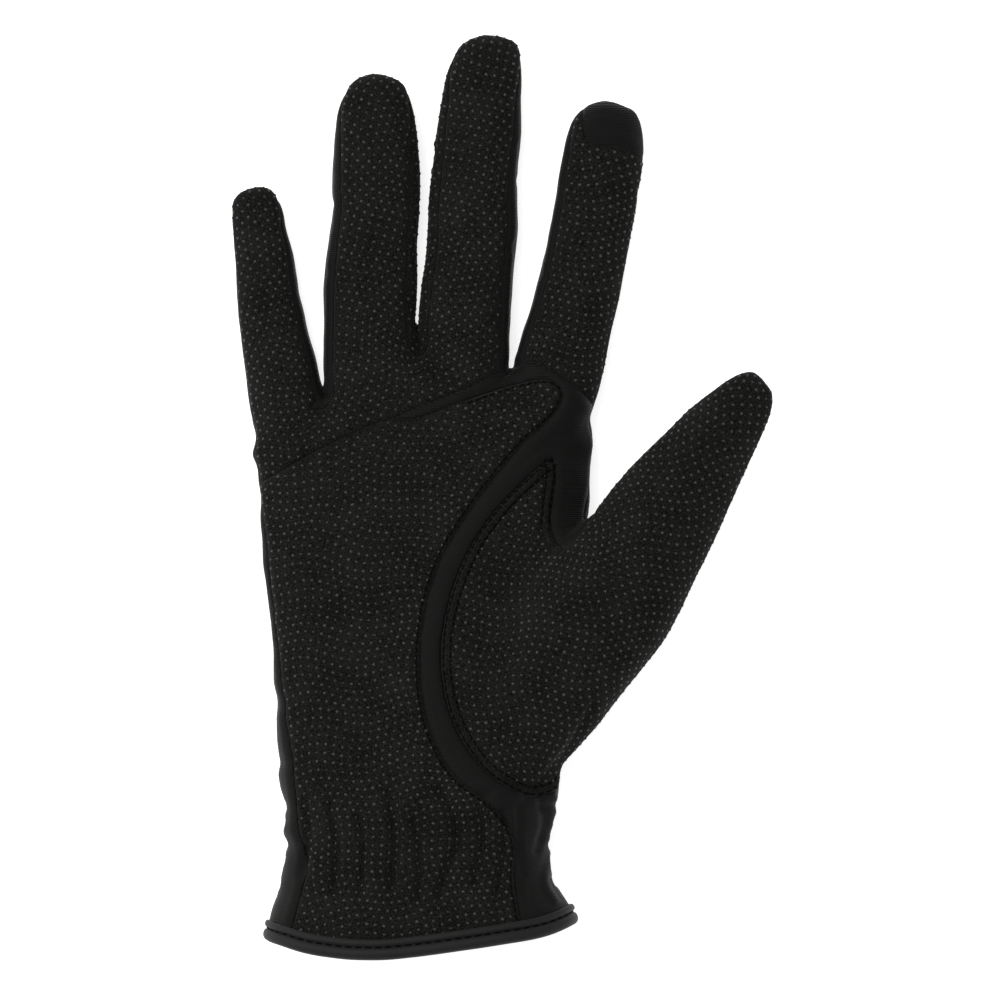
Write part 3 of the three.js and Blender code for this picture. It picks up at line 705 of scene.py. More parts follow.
@dataclass
class Tailor:
    """Cuts the net into its panels and lays their seams in smooth lines."""

    digits: dict[str, Digit]
    lines: SeamLines = field(default_factory=SeamLines)
    vote_rounds: int = 2
    votes_to_swap: int = 3
    seam_share: float = 0.5
    beside_share: float = 0.35
    beside_rings: int = 3
    settle_every: int = 6

    @staticmethod
    def within(at: np.ndarray, line: np.ndarray, *corners: tuple[float, float]) -> np.ndarray:
        """Which points lie in the outline of a line and some far corners."""
        return inside(np.vstack([line, np.array(corners, float)]), at)

    def cut(self, net: GloveNet) -> None:
        """Gives each face of the net its panel.

        Args:
            net: the net, whose panels are set.
        """
        at = net.centres()
        flat = at[:, :2]
        lines, thumb = self.lines, self.digits["thumb"]
        on_hand = lines.on_hand
        panel = np.full(len(at), Panel.STRETCH_BASE)
        far = 400.0

        above_cross = self.within(flat, on_hand(lines.cross), (far, 1.012 * PALM_LENGTH), (far, far), (-far, far),
                                  (-far, 0.5 * PALM_LENGTH))
        in_patch = self.within(flat, on_hand(lines.patch), (0.66 * HALF_PALM, -far), (-far, -far), (-far, far),
                               (-0.24 * HALF_PALM, far))
        gap = np.array([[0.53, 0.99], [0.693, 1.286], [0.76, 1.6], [0.8, 2.4]]) * [HALF_PALM, PALM_LENGTH]
        left_of_gap = self.within(flat, gap, (-far, far), (-far, 0.5 * PALM_LENGTH),
                                  (0.3 * HALF_PALM, 0.5 * PALM_LENGTH))
        above_index = self.within(flat, on_hand(lines.index), (far, 0.8 * PALM_LENGTH), (far, far),
                                  (0.4 * HALF_PALM, far))
        index = self.digits["index"]
        tip_line = np.array([index.point(v * index.length, u * HALF_INDEX) for u, v in curve(lines.tip)])
        beyond_tip = self.within(flat, tip_line, (far, 1.2 * PALM_LENGTH), (far, far), (0.4 * HALF_PALM, far))
        past_thumb = (2.3 * HALF_PALM, 1.55 * PALM_LENGTH), (4 * HALF_PALM, 0.9 * PALM_LENGTH)
        on_thumb = self.within(flat, on_hand([*lines.thumb, *lines.flap]), *past_thumb,
                               (3 * HALF_PALM, 0.415 * PALM_LENGTH))

        panel[~above_cross & in_patch] = Panel.PALM
        panel[above_cross & left_of_gap] = Panel.FINGER_FRONT
        panel[~left_of_gap & above_index] = Panel.INDEX_FRONT
        panel[~left_of_gap & beyond_tip] = Panel.INDEX_TIP
        panel[on_thumb] = Panel.THUMB_FRONT

        # The back, below the side seams
        level = np.interp(flat[:, 1] / PALM_LENGTH, *np.array(lines.side).T)
        outer = self.within(flat, on_hand(lines.outer), (-far, -0.06 * PALM_LENGTH), (-far, 0.9 * PALM_LENGTH))
        along, across = thumb.place(at)
        share = along / thumb.length
        under = (share > -0.45) & (share < 1.1)
        under &= across > -np.interp(share, *np.array(lines.under_thumb).T) * THUMB_WIDTH / 2
        under &= at[:, 2] < column(thumb.profile, 1, share) * thumb.depth
        behind = (at[:, 2] < level) | outer | under
        behind_thumb = self.within(flat, on_hand(lines.thumb_back), (3 * HALF_PALM, 0.4 * PALM_LENGTH),
                                   *past_thumb[::-1])
        panel[behind] = Panel.BACK
        panel[behind & behind_thumb] = Panel.THUMB_BACK

        for i in range(3):
            panel[self.in_gap(i, at)] = Panel.STRIP_LITTLE_RING + i

        hem = curve(lines.hem)
        panel[flat[:, 1] < np.interp(flat[:, 0], hem[:, 0], hem[:, 1]) + lines.fold] = Panel.OPENING
        net.panel = panel
        self.tidy(net)

    def in_gap(self, i: int, at: np.ndarray) -> np.ndarray:
        """Tells which faces belong to the strip between two fingers.

        Args:
            i: which gap, from the little finger on.
            at: the middles of the faces.

        Returns:
            One truth value for each face.
        """
        pair = list(self.digits.values())[i:i + 2]
        crotch = PalmForm().web[i + 1][1] * PALM_LENGTH - self.lines.strip_starts[i]
        rows = np.array(self.lines.strips)
        near, side_test, height_test = [], [], []
        for finger, sign in zip(pair, (1, -1)):
            along, across = finger.place(at)
            share = along / finger.length
            half = column(finger.outline, 2 if sign > 0 else 1, share)
            side_test.append(sign * across > half - self.lines.strip_reach)
            start = crotch - finger.root[1]
            t = (along - start) / (self.lines.strip_end * finger.length - start)
            centre = column(finger.profile, 1, share) * finger.depth
            above = np.interp(t, rows[:, 0], rows[:, 1]) * finger.depth
            under = np.interp(t, rows[:, 0], rows[:, 2]) * finger.depth
            height_test.append((t > 0) & (t < 1) & (at[:, 2] < centre + above) & (at[:, 2] > centre - under))
            near.append(np.abs(sign * across - half))
        of_first = near[0] < near[1]
        return side_test[0] & side_test[1] & np.where(of_first, height_test[0], height_test[1])

    def tidy(self, net: GloveNet) -> None:
        """Clears single faces and loose islands out of the panels.

        Args:
            net: the net, whose panels are changed.
        """
        for _ in range(self.vote_rounds):
            votes = np.zeros((len(net.quads), len(Panel)), int)
            for a, b in ((0, 1), (1, 0)):
                np.add.at(votes, (net.edge_faces[:, a], net.panel[net.edge_faces[:, b]]), 1)
            best = votes.argmax(axis=1)
            swap = votes[np.arange(len(best)), best] >= self.votes_to_swap
            net.panel[swap] = best[swap]
        beside: list[list[int]] = [[] for _ in net.quads]
        for a, b in net.edge_faces:
            beside[a].append(b)
            beside[b].append(a)
        seen = np.zeros(len(net.quads), bool)
        islands: dict[int, list[list[int]]] = {}
        for start in range(len(net.quads)):
            if seen[start]:
                continue
            seen[start] = True
            island, queue = [start], [start]
            while queue:
                face = queue.pop()
                for other in beside[face]:
                    if not seen[other] and net.panel[other] == net.panel[start]:
                        seen[other] = True
                        island.append(other)
                        queue.append(other)
            islands.setdefault(int(net.panel[start]), []).append(island)
        for panel, found in islands.items():
            found.sort(key=len)
            for island in found[:-1]:
                around = [net.panel[o] for f in island for o in beside[f] if net.panel[o] != panel]
                net.panel[island] = max(set(around), key=around.count)

    def smooth_seams(self, net: GloveNet, rounds: int = 24) -> None:
        """Draws the stepped borders between panels into smooth lines on the surface.

        Args:
            net: the net, whose points are moved.
            rounds: how often the lines are relaxed.
        """
        surface = BVHTree.FromPolygons(net.points.tolist(), net.quads.tolist())
        seams = net.edges[net.seam_edges()]
        degree = np.bincount(seams.ravel(), minlength=len(net.points))
        chain = degree == 2
        near = degree > 0
        for _ in range(self.beside_rings):
            touched = near[net.edges].any(axis=1)
            near[net.edges[touched].ravel()] = True
        beside = near & (degree == 0)
        for turn in range(rounds):
            net.points = net.relaxed(net.points, chain, self.seam_share, seams)
            net.points = net.relaxed(net.points, beside, self.beside_share, net.edges)
            if (turn + 1) % self.settle_every == 0:
                for i in np.flatnonzero(near):
                    net.points[i] = surface.find_nearest(net.points[i])[0]


@dataclass
class Crease:
    """A fold pressed into the cloth along a line on the hand.

    depth is negative for a ridge. front tells whether it lies on the palm side.
    """

    line: list[tuple[float, float]]
    depth: float
    reach: float
    front: bool = True


def elastic_creases() -> list[Crease]:
    """The puckers that the elastic draws at the wrist, on the palm side and on the back.

    Returns:
        The puckers.
    """
    palm = [
        ([(-31, 41), (-30, 31), (-32, 22)], 0.9, 1.9), ([(-24.5, 40), (-22.5, 29), (-23.5, 18)], 1.5, 2.1),
        ([(-17, 37), (-15.6, 28), (-16.8, 17)], 1.3, 1.9), ([(-9.5, 43), (-7.4, 31), (-8.6, 19)], 1.7, 2.2),
        ([(-3.0, 36), (-1.0, 28), (-1.6, 16)], 1.2, 1.8), ([(4, 44), (8.8, 33), (6.5, 25), (4, 17)], 1.8, 2.3),
        ([(14, 40), (15.2, 31), (12.8, 20)], 1.4, 2.0), ([(20.5, 38), (20.6, 28), (19.0, 18)], 1.1, 1.9),
        ([(-27, 45), (-20, 41), (-12, 43)], 0.6, 2.2), ([(0, 44), (9, 41), (17, 43)], 0.7, 2.2),
        ([(24.5, 40), (24.6, 30), (25.5, 22)], 0.6, 1.6), ([(-28, 33), (-20, 30), (-12, 33)], -0.5, 2.0),
        ([(-4, 31), (3, 28), (10, 31)], -0.5, 2.0), ([(-20, 24), (-12, 21), (-4, 23)], 0.4, 1.6),
        ([(2, 22), (9, 19), (17, 22)], 0.4, 1.6),
    ]
    creases = [Crease(line, depth, reach) for line, depth, reach in palm]
    rng = np.random.default_rng(SEED)
    for y in (19.5, 24.6, 29.8, 35.0, 40.0):
        xs = np.linspace(-46, 46, 12)
        wander = rng.uniform(-0.9, 0.9, len(xs))
        creases.append(Crease([(float(x), float(y + dy)) for x, dy in zip(xs, wander)], 0.75, 1.9, False))
    return creases


def worn_creases() -> list[Crease]:
    """The folds where the filled hand bends the cloth.

    Returns:
        The folds of both sides.
    """
    rows = [
        ([(44, 66), (38, 55), (31.5, 47), (27, 43)], 0.9, 2.0), ([(46, 62), (40, 52), (34, 45)], -0.6, 1.8),
        ([(36, 41), (31, 39), (26, 40.5)], 0.7, 1.6), ([(33, 45), (33.6, 38), (31.6, 31)], -0.7, 1.7),
        ([(30, 42), (31.2, 35), (29.2, 28)], 0.6, 1.7), ([(33, 26), (31.4, 20), (34, 15)], -0.6, 1.6),
        ([(-25, 146), (-21, 148.5), (-16, 148)], 0.5, 1.4), ([(-27, 141), (-22, 142), (-17, 146)], 0.35, 1.6),
        ([(-1.5, 157), (-2.5, 150), (-6, 145)], 0.4, 1.8), ([(22, 154), (19, 149), (12, 146)], 0.35, 1.8),
        ([(-44, 126), (-30, 130), (-10, 139)], 0.3, 3.0), ([(-40, 118), (-20, 116), (2, 122)], 0.3, 4.0),
        ([(-38, 92), (-24, 88), (-8, 92)], 0.3, 4.5), ([(-37, 66), (-22, 62), (-6, 63)], 0.3, 4.0),
        ([(8, 72), (16, 82), (26, 98)], 0.3, 5.0), ([(20, 56), (30, 68), (44, 84)], 0.35, 5.0),
        ([(-47, 165), (-41, 163), (-35, 165)], 0.3, 2.0), ([(-49, 184), (-44, 182.5), (-39, 184)], 0.25, 2.0),
        ([(-25, 178), (-14, 175.5), (-3, 178)], 0.3, 2.4), ([(-24, 203), (-13, 201), (-2, 203)], 0.25, 2.2),
        ([(2, 186), (13, 183), (24, 185)], 0.3, 2.4), ([(6, 212), (16, 210), (26, 211)], 0.25, 2.2),
        ([(30, 178), (40, 174), (52, 175)], 0.3, 2.4), ([(36, 201), (45, 198), (56, 199)], 0.25, 2.2),
        ([(56, 128), (64, 119), (74, 112)], 0.35, 2.6),
    ]
    front = [Crease(line, depth, reach) for line, depth, reach in rows]
    back = [
        Crease([(-46, 134), (-30, 142), (-10, 146), (14, 146), (34, 140), (46, 132)], 0.35, 4.0, False),
        Crease([(-46, 178), (-38, 180)], 0.3, 2.0, False), Crease([(-26, 196), (-2, 196)], 0.3, 2.2, False),
        Crease([(4, 203), (26, 202)], 0.3, 2.2, False), Crease([(36, 190), (56, 188)], 0.3, 2.2, False),
        Crease([(48, 110), (66, 98)], 0.35, 2.4, False), Crease([(-34, 60), (0, 56), (30, 62)], 0.3, 5.0, False),
        Crease([(-38, 96), (0, 92), (38, 98)], 0.25, 6.0, False),
    ]
    return front + back


@dataclass
class ClothRelief:
    """Gives the cloth its sewn edges, gathers, folds and the slight unevenness of stretched fabric."""

    seam_depth: float = 0.5
    seam_reach: float = 1.3
    pad: float = 0.16
    pad_at: tuple[float, float] = (2.4, 1.6)
    welt: float = 0.5
    welt_width: float = 1.9
    welt_left_of: float = 35.5
    groove: float = 0.6
    uneven: float = 0.14
    lowest: float = 0.02

    def lay(self, net: GloveNet) -> None:
        """Moves the points of the net along its normals.

        Args:
            net: the net, already cut into panels.
        """
        normals = net.normals()
        away = self.from_seams(net)
        move = -self.seam_depth * np.clip(1 - away / self.seam_reach, 0, 1) ** 2
        move += self.pad * hump(*self.pad_at, away)
        move += self.welted_edge(net, away, normals)
        for crease in [*elastic_creases(), *worn_creases()]:
            facing = ease(0.0, 0.35, normals[:, 2] if crease.front else -normals[:, 2] + 0.3)
            away_from = self.from_line(curve(crease.line, 5), net.points[:, :2])
            move -= crease.depth * facing * hump(0, crease.reach, away_from)
        move += self.uneven * self.noise(net.points)
        net.points = net.points + normals * move[:, None]
        everywhere = np.ones(len(net.points), bool)
        net.points = net.relaxed(net.points, everywhere, 0.25, net.edges)
        # The cloth that the glove lies on is pressed flat by the floor
        net.points[:, 2] = np.maximum(net.points[:, 2], self.lowest)

    def from_seams(self, net: GloveNet) -> np.ndarray:
        """The distance of each point from the nearest seam.

        Args:
            net: the net, cut into panels.

        Returns:
            One distance for each point.
        """
        seams = net.seam_edges() & (net.panel[net.edge_faces].min(axis=1) > 0)
        ends = net.points[net.edges[seams]]
        tree = nearest_tree(np.vstack([ends[:, 0], ends.mean(axis=1)]))
        return np.array([tree.find(point)[2] for point in net.points])

    def welted_edge(self, net: GloveNet, away: np.ndarray, normals: np.ndarray) -> np.ndarray:
        """The folded and topstitched edge of the thumb panel, on the palm side.

        Args:
            net: the net, cut into panels.
            away: distances from the nearest seam.
            normals: directions out of the cloth.

        Returns:
            How far each point rises.
        """
        mine = np.zeros(len(net.points), bool)
        mine[net.quads[net.panel == Panel.THUMB_FRONT].ravel()] = True
        upper = mine & (normals[:, 2] > 0.5) & (net.points[:, 0] < self.welt_left_of)
        welt = self.welt * hump(self.welt_width / 2 + 0.15, self.welt_width / 2, away)
        groove = -self.groove * hump(self.welt_width + 0.4, 0.8, away)
        return np.where(upper, welt + groove - self.pad * hump(*self.pad_at, away), 0)

    @staticmethod
    def from_line(line: np.ndarray, at: np.ndarray) -> np.ndarray:
        """The distance of points from a line of straight pieces, seen from above.

        Args:
            line: the corners of the line.
            at: the points.

        Returns:
            One distance for each point.
        """
        best = np.full(len(at), 1e9)
        for a, b in zip(line, line[1:]):
            run = b - a
            t = np.clip(((at - a) @ run) / max(float(run @ run), 1e-9), 0, 1)
            best = np.minimum(best, np.linalg.norm(at - a - t[:, None] * run, axis=1))
        return best

    @staticmethod
    def noise(at: np.ndarray) -> np.ndarray:
        """A smooth uneven surface from waves in several directions, from about -1 to 1.

        Args:
            at: the points.

        Returns:
            One height for each point.
        """
        rng = np.random.default_rng(SEED)
        total = np.zeros(len(at))
        for length in (26.0, 17.0, 11.0, 7.5, 5.5):
            for _ in range(3):
                way = rng.normal(size=3)
                way /= np.linalg.norm(way)
                total += np.sin(at @ way * 2 * math.pi / length + rng.uniform(0, 6.28)) * (length / 26) ** 0.7
        return total / 4


def add_node(tree: bpy.types.NodeTree, kind: str, wires: dict | None = None, **settings) -> bpy.types.Node:
    """Adds one node to a material, with its settings and links.

    Args:
        tree: the material's node tree.
        kind: the node's type name.
        wires: a value or a socket to link for each input.
        settings: values for the node's own properties.

    Returns:
        The new node.
    """
    node = tree.nodes.new(kind)
    for name, value in settings.items():
        setattr(node, name, value)
    for name, value in (wires or {}).items():
        if isinstance(value, bpy.types.NodeSocket):
            tree.links.new(value, node.inputs[name])
        else:
            node.inputs[name].default_value = value
    return node


def linear(colour: str) -> tuple[float, float, float, float]:
    """Turns an sRGB hex colour into linear values for a shader."""
    parts = [int(colour[i:i + 2], 16) / 255 for i in (1, 3, 5)]
    return (*[v / 12.92 if v <= 0.04045 else ((v + 0.055) / 1.055) ** 2.4 for v in parts], 1.0)


PATCH_SIZE = 9.0  # how wide the faint patches of a cloth's colour are, in millimetres
PATCH_SHARE = 0.22
TONE_MIDDLE = 0.61
TONE_SPREAD = 0.45


@dataclass(frozen=True)
class Finish:
    """A cloth or thread finish.

    grain is the width of its finest unevenness and rib the distance between its ribs, both in millimetres.
    The bumps are heights in millimetres. mottle is how far its colour varies.
    """

    name: str
    colour: str
    light: str
    roughness: float
    specular: float
    sheen: float
    grain: float
    grain_bump: float
    rib: float = 0.0
    rib_bump: float = 0.0
    mottle: float = 0.5

    def material(self) -> bpy.types.Material:
        """Makes the material: a mottled dark cloth with fine grain and, on a knit, its ribs.

        Returns:
            The material, made once for each finish.
        """
        made = bpy.data.materials.get(self.name)
        if made:
            return made
        made = bpy.data.materials.new(self.name)
        made.use_nodes = True
        tree = made.node_tree
        tree.nodes.clear()
        place = add_node(tree, "ShaderNodeTexCoord").outputs["Object"]
        patches = add_node(tree, "ShaderNodeTexNoise", {"Vector": place, "Scale": 1 / (PATCH_SIZE * MM), "Detail": 3.0})
        fibres = add_node(tree, "ShaderNodeTexNoise",
                          {"Vector": place, "Scale": 1 / (self.grain * MM), "Detail": 2.0, "Roughness": 0.6})
        blend = add_node(tree, "ShaderNodeMath",
                         {0: patches.outputs["Fac"], 1: PATCH_SHARE, 2: fibres.outputs["Fac"]},
                         operation="MULTIPLY_ADD")
        tone = add_node(tree, "ShaderNodeValToRGB", {"Fac": blend.outputs[0]})
        tone.color_ramp.elements[0].position = TONE_MIDDLE - TONE_SPREAD * self.mottle
        tone.color_ramp.elements[0].color = linear(self.colour)
        tone.color_ramp.elements[1].position = TONE_MIDDLE + TONE_SPREAD * self.mottle
        tone.color_ramp.elements[1].color = linear(self.light)
        shader = add_node(tree, "ShaderNodeBsdfPrincipled", {
            "Base Color": tone.outputs["Color"], "Roughness": self.roughness,
            "Specular IOR Level": self.specular, "Sheen Weight": self.sheen, "Sheen Roughness": 0.5,
        })
        bump = add_node(tree, "ShaderNodeBump",
                        {"Height": fibres.outputs["Fac"], "Distance": self.grain_bump * MM, "Strength": 1.0})
        if self.rib:
            ribs = add_node(tree, "ShaderNodeTexWave",
                            {"Vector": place, "Scale": 2 * math.pi / (20 * self.rib * MM), "Distortion": 0.6,
                             "Detail": 1.0, "Detail Scale": 0.4}, wave_type="BANDS", bands_direction="Y")
            bump = add_node(tree, "ShaderNodeBump", {"Height": ribs.outputs["Fac"], "Normal": bump.outputs[0],
                                                     "Distance": self.rib_bump * MM, "Strength": 1.0})
        tree.links.new(bump.outputs[0], shader.inputs["Normal"])
        add_node(tree, "ShaderNodeOutputMaterial", {"Surface": shader.outputs[0]})
        return made


# Microfibre suede cloth: short split fibres scatter light, so it looks deep black and matt with a soft bloom
GRIP_SUEDE = Finish("grip_microfibre_suede", "#0a0a09", "#20201e", 0.9, 0.06, 0.03, 0.4, 0.14, mottle=0.2)
# Printed silicone dots: rounded and slightly glossy, so each one catches a small grey light
SILICONE_DOTS = Finish("printed_silicone_dots", "#0e0e0d", "#353532", 0.38, 0.32, 0.0, 1.4, 0.01, mottle=0.18)
# Fine ribbed polyamide knit: its ribs run across the hand and show as faint parallel lines
STRETCH_KNIT = Finish("ribbed_stretch_knit", "#0c0c0b", "#131312", 0.6, 0.1, 0.03, 0.3, 0.03, 0.56, 0.08)
# Touch-screen cloth with conductive yarn: a tighter rib with a little more shine
TOUCH_KNIT = Finish("conductive_touch_knit", "#0c0c0c", "#141414", 0.62, 0.09, 0.03, 0.3, 0.02, 0.62, 0.14)
# Folded elastic tape: a smooth, flat woven face, a little lighter than the cloth
BINDING_WEAVE = Finish("woven_elastic_tape", "#171717", "#20201f", 0.62, 0.18, 0.04, 0.35, 0.04)
# Spun polyester thread: twisted and slightly glossy against the cloth
SEWING_THREAD = Finish("spun_polyester_thread", "#030303", "#080808", 0.7, 0.05, 0.0, 0.2, 0.03)


@dataclass(frozen=True)
class Cloth:
    """One panel of cloth: what it is cut from and the size of its flat pattern in millimetres."""

    panel: Panel
    node: str
    name: str
    slot: Slot
    finish: Finish
    flat: tuple[float, float]
    area: float
    sewn_to: tuple[str, ...]
    dotted: bool = False


CLOTHS = [
    Cloth(Panel.PALM, "palm_panel", "palm_cloth", Slot.GRIP, GRIP_SUEDE, (83, 146), 6900,
          ("back_cloth", "stretch_base_cloth", "finger_front_cloth"), True),
    Cloth(Panel.FINGER_FRONT, "finger_front_panel", "finger_front_cloth", Slot.GRIP, GRIP_SUEDE, (96, 118), 5400,
          ("palm_cloth", "back_cloth"), True),
    Cloth(Panel.INDEX_FRONT, "index_front_panel", "index_front_cloth", Slot.GRIP, GRIP_SUEDE, (28, 75), 1560,
          ("stretch_base_cloth", "back_cloth"), True),
    Cloth(Panel.INDEX_TIP, "index_touch_tip", "index_tip_cloth", Slot.TOUCH, TOUCH_KNIT, (16, 23), 275,
          ("index_front_cloth", "back_cloth")),
    Cloth(Panel.STRETCH_BASE, "stretch_base_panel", "stretch_base_cloth", Slot.STRETCH, STRETCH_KNIT, (48, 151),
          2180, ("palm_cloth", "thumb_front_cloth", "back_cloth")),
    Cloth(Panel.THUMB_FRONT, "thumb_front_panel", "thumb_front_cloth", Slot.GRIP, GRIP_SUEDE, (65, 123), 5600,
          ("stretch_base_cloth", "thumb_back_cloth"), True),
    Cloth(Panel.THUMB_BACK, "thumb_back_panel", "thumb_back_cloth", Slot.STRETCH, STRETCH_KNIT, (48, 92), 3300,
          ("thumb_front_cloth", "back_cloth")),
    Cloth(Panel.BACK, "back_panel", "back_cloth", Slot.STRETCH, STRETCH_KNIT, (150, 235), 21900,
          ("palm_cloth", "finger_front_cloth")),
    Cloth(Panel.STRIP_LITTLE_RING, "fourchette_little_ring", "little_ring_strip", Slot.STRETCH, STRETCH_KNIT,
          (12, 110), 1050, ("finger_front_cloth", "back_cloth")),
    Cloth(Panel.STRIP_RING_MIDDLE, "fourchette_ring_middle", "ring_middle_strip", Slot.GRIP, GRIP_SUEDE,
          (12, 130), 1170, ("finger_front_cloth", "back_cloth"), True),
    Cloth(Panel.STRIP_MIDDLE_INDEX, "fourchette_middle_index", "middle_index_strip", Slot.STRETCH, STRETCH_KNIT,
          (10, 84), 680, ("finger_front_cloth", "index_front_cloth")),
]


def finish_piece(piece: bpy.types.Object, finish: Finish) -> None:
    """Moves a finished piece from the hand's frame to the row's, and gives it its finish and its body.

    Args:
        piece: the object, whose mesh is in millimetres in the hand's frame.
        finish: its finish.
    """
    mesh = piece.data
    mesh.vertices.foreach_set("co", ((mesh_points(mesh) + ORIGIN) * MM).ravel())
    mesh.polygons.foreach_set("use_smooth", [True] * len(mesh.polygons))
    mesh.update()
    mesh.materials.append(finish.material())
    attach(piece, "root")
    log.info("%s: %d faces", piece.name, len(mesh.polygons))


def new_piece(name: str, points: np.ndarray, faces: list[list[int]]) -> bpy.types.Object:
    """Makes a new object from points and faces.

    Args:
        name: the name of the object.
        points: its points, in millimetres in the hand's frame.
        faces: the numbers of the points of each face.

    Returns:
        The object.
    """
    mesh = bpy.data.meshes.new(name)
    mesh.from_pydata(points.tolist(), [], faces)
    mesh.update()
    return link_mesh(name, mesh)


@dataclass
class FlatPattern:
    """The flat pattern that a panel was cut to, laid over the palm as it is seen from above."""

    points: np.ndarray
    faces: np.ndarray
    flat: np.ndarray

    @classmethod
    def of(cls, piece: bpy.types.Object, points: np.ndarray, faces: np.ndarray) -> "FlatPattern":
        """Lays a panel flat with the least distortion, and keeps that as its UV map in metres.

        Args:
            piece: the panel's object, still in millimetres.
            points: its points.
            faces: its faces.

        Returns:
            The flat pattern, turned so that it lies under the part of the panel that faces up.
        """
        piece.data.uv_layers.new(name="flat_pattern")
        bpy.context.view_layer.objects.active = piece
        piece.select_set(True)
        bpy.ops.object.mode_set(mode="EDIT")
        bpy.ops.mesh.select_all(action="SELECT")
        bpy.ops.uv.unwrap(method="MINIMUM_STRETCH", iterations=12, margin=0.0)
        bpy.ops.object.mode_set(mode="OBJECT")
        piece.select_set(False)
        layer = piece.data.uv_layers["flat_pattern"].uv
        loops = np.empty(len(layer) * 2)
        layer.foreach_get("vector", loops)
        corner = np.empty(len(layer), int)
        piece.data.loops.foreach_get("vertex_index", corner)
        flat = np.zeros((len(points), 2))
        flat[corner] = loops.reshape(-1, 2)
        normal = spread(points, faces)
        up = normal[:, 2] > 0.8 * np.linalg.norm(normal, axis=1)
        seen = np.unique(faces[up if up.sum() > 50 else normal[:, 2] > 0])
        w = flat[seen, 0] + 1j * flat[seen, 1]
        p = points[seen, 0] + 1j * points[seen, 1]
        area = np.linalg.norm(normal, axis=1).sum() / 2
        scale = math.sqrt(area / (np.abs(spread(flat, faces)).sum() / 2))
        turn = np.vdot(w - w.mean(), p - p.mean())
        laid = (flat[:, 0] + 1j * flat[:, 1] - w.mean()) * scale * turn / abs(turn) + p.mean()
        flat = np.column_stack([laid.real, laid.imag])
        layer.foreach_set("vector", (flat[corner] * MM).ravel())
        log.info("%s: pattern %.0f x %.0f mm, %.0f mm2", piece.name, *np.ptp(flat, axis=0), area)
        return cls(points, faces, flat)

    def edge(self) -> np.ndarray:
        """Which points lie on the edge of the pattern.

        Returns:
            One truth value for each point.
        """
        keys, count = np.unique(face_edges(self.faces), axis=0, return_counts=True)
        on = np.zeros(len(self.points), bool)
        on[keys[count == 1].ravel()] = True
        return on


def copies(name: str, shape: bmesh.types.BMesh, places: list[Matrix]) -> bpy.types.Object:
    """One object that holds a copy of a small shape at each place.

    Args:
        name: the name of the object.
        shape: the shape, which is freed.
        places: where each copy goes.

    Returns:
        The object.
    """
    points = np.array([vert.co for vert in shape.verts])
    faces = [[vert.index for vert in face.verts] for face in shape.faces]
    shape.free()
    turns = np.array([place.to_3x3() for place in places])
    offsets = np.array([place.translation for place in places])
    every = np.einsum("nij,kj->nki", turns, points) + offsets[:, None, :]
    all_faces = [[i + n * len(points) for i in face] for n in range(len(places)) for face in faces]
    return new_piece(name, every.reshape(-1, 3), all_faces)


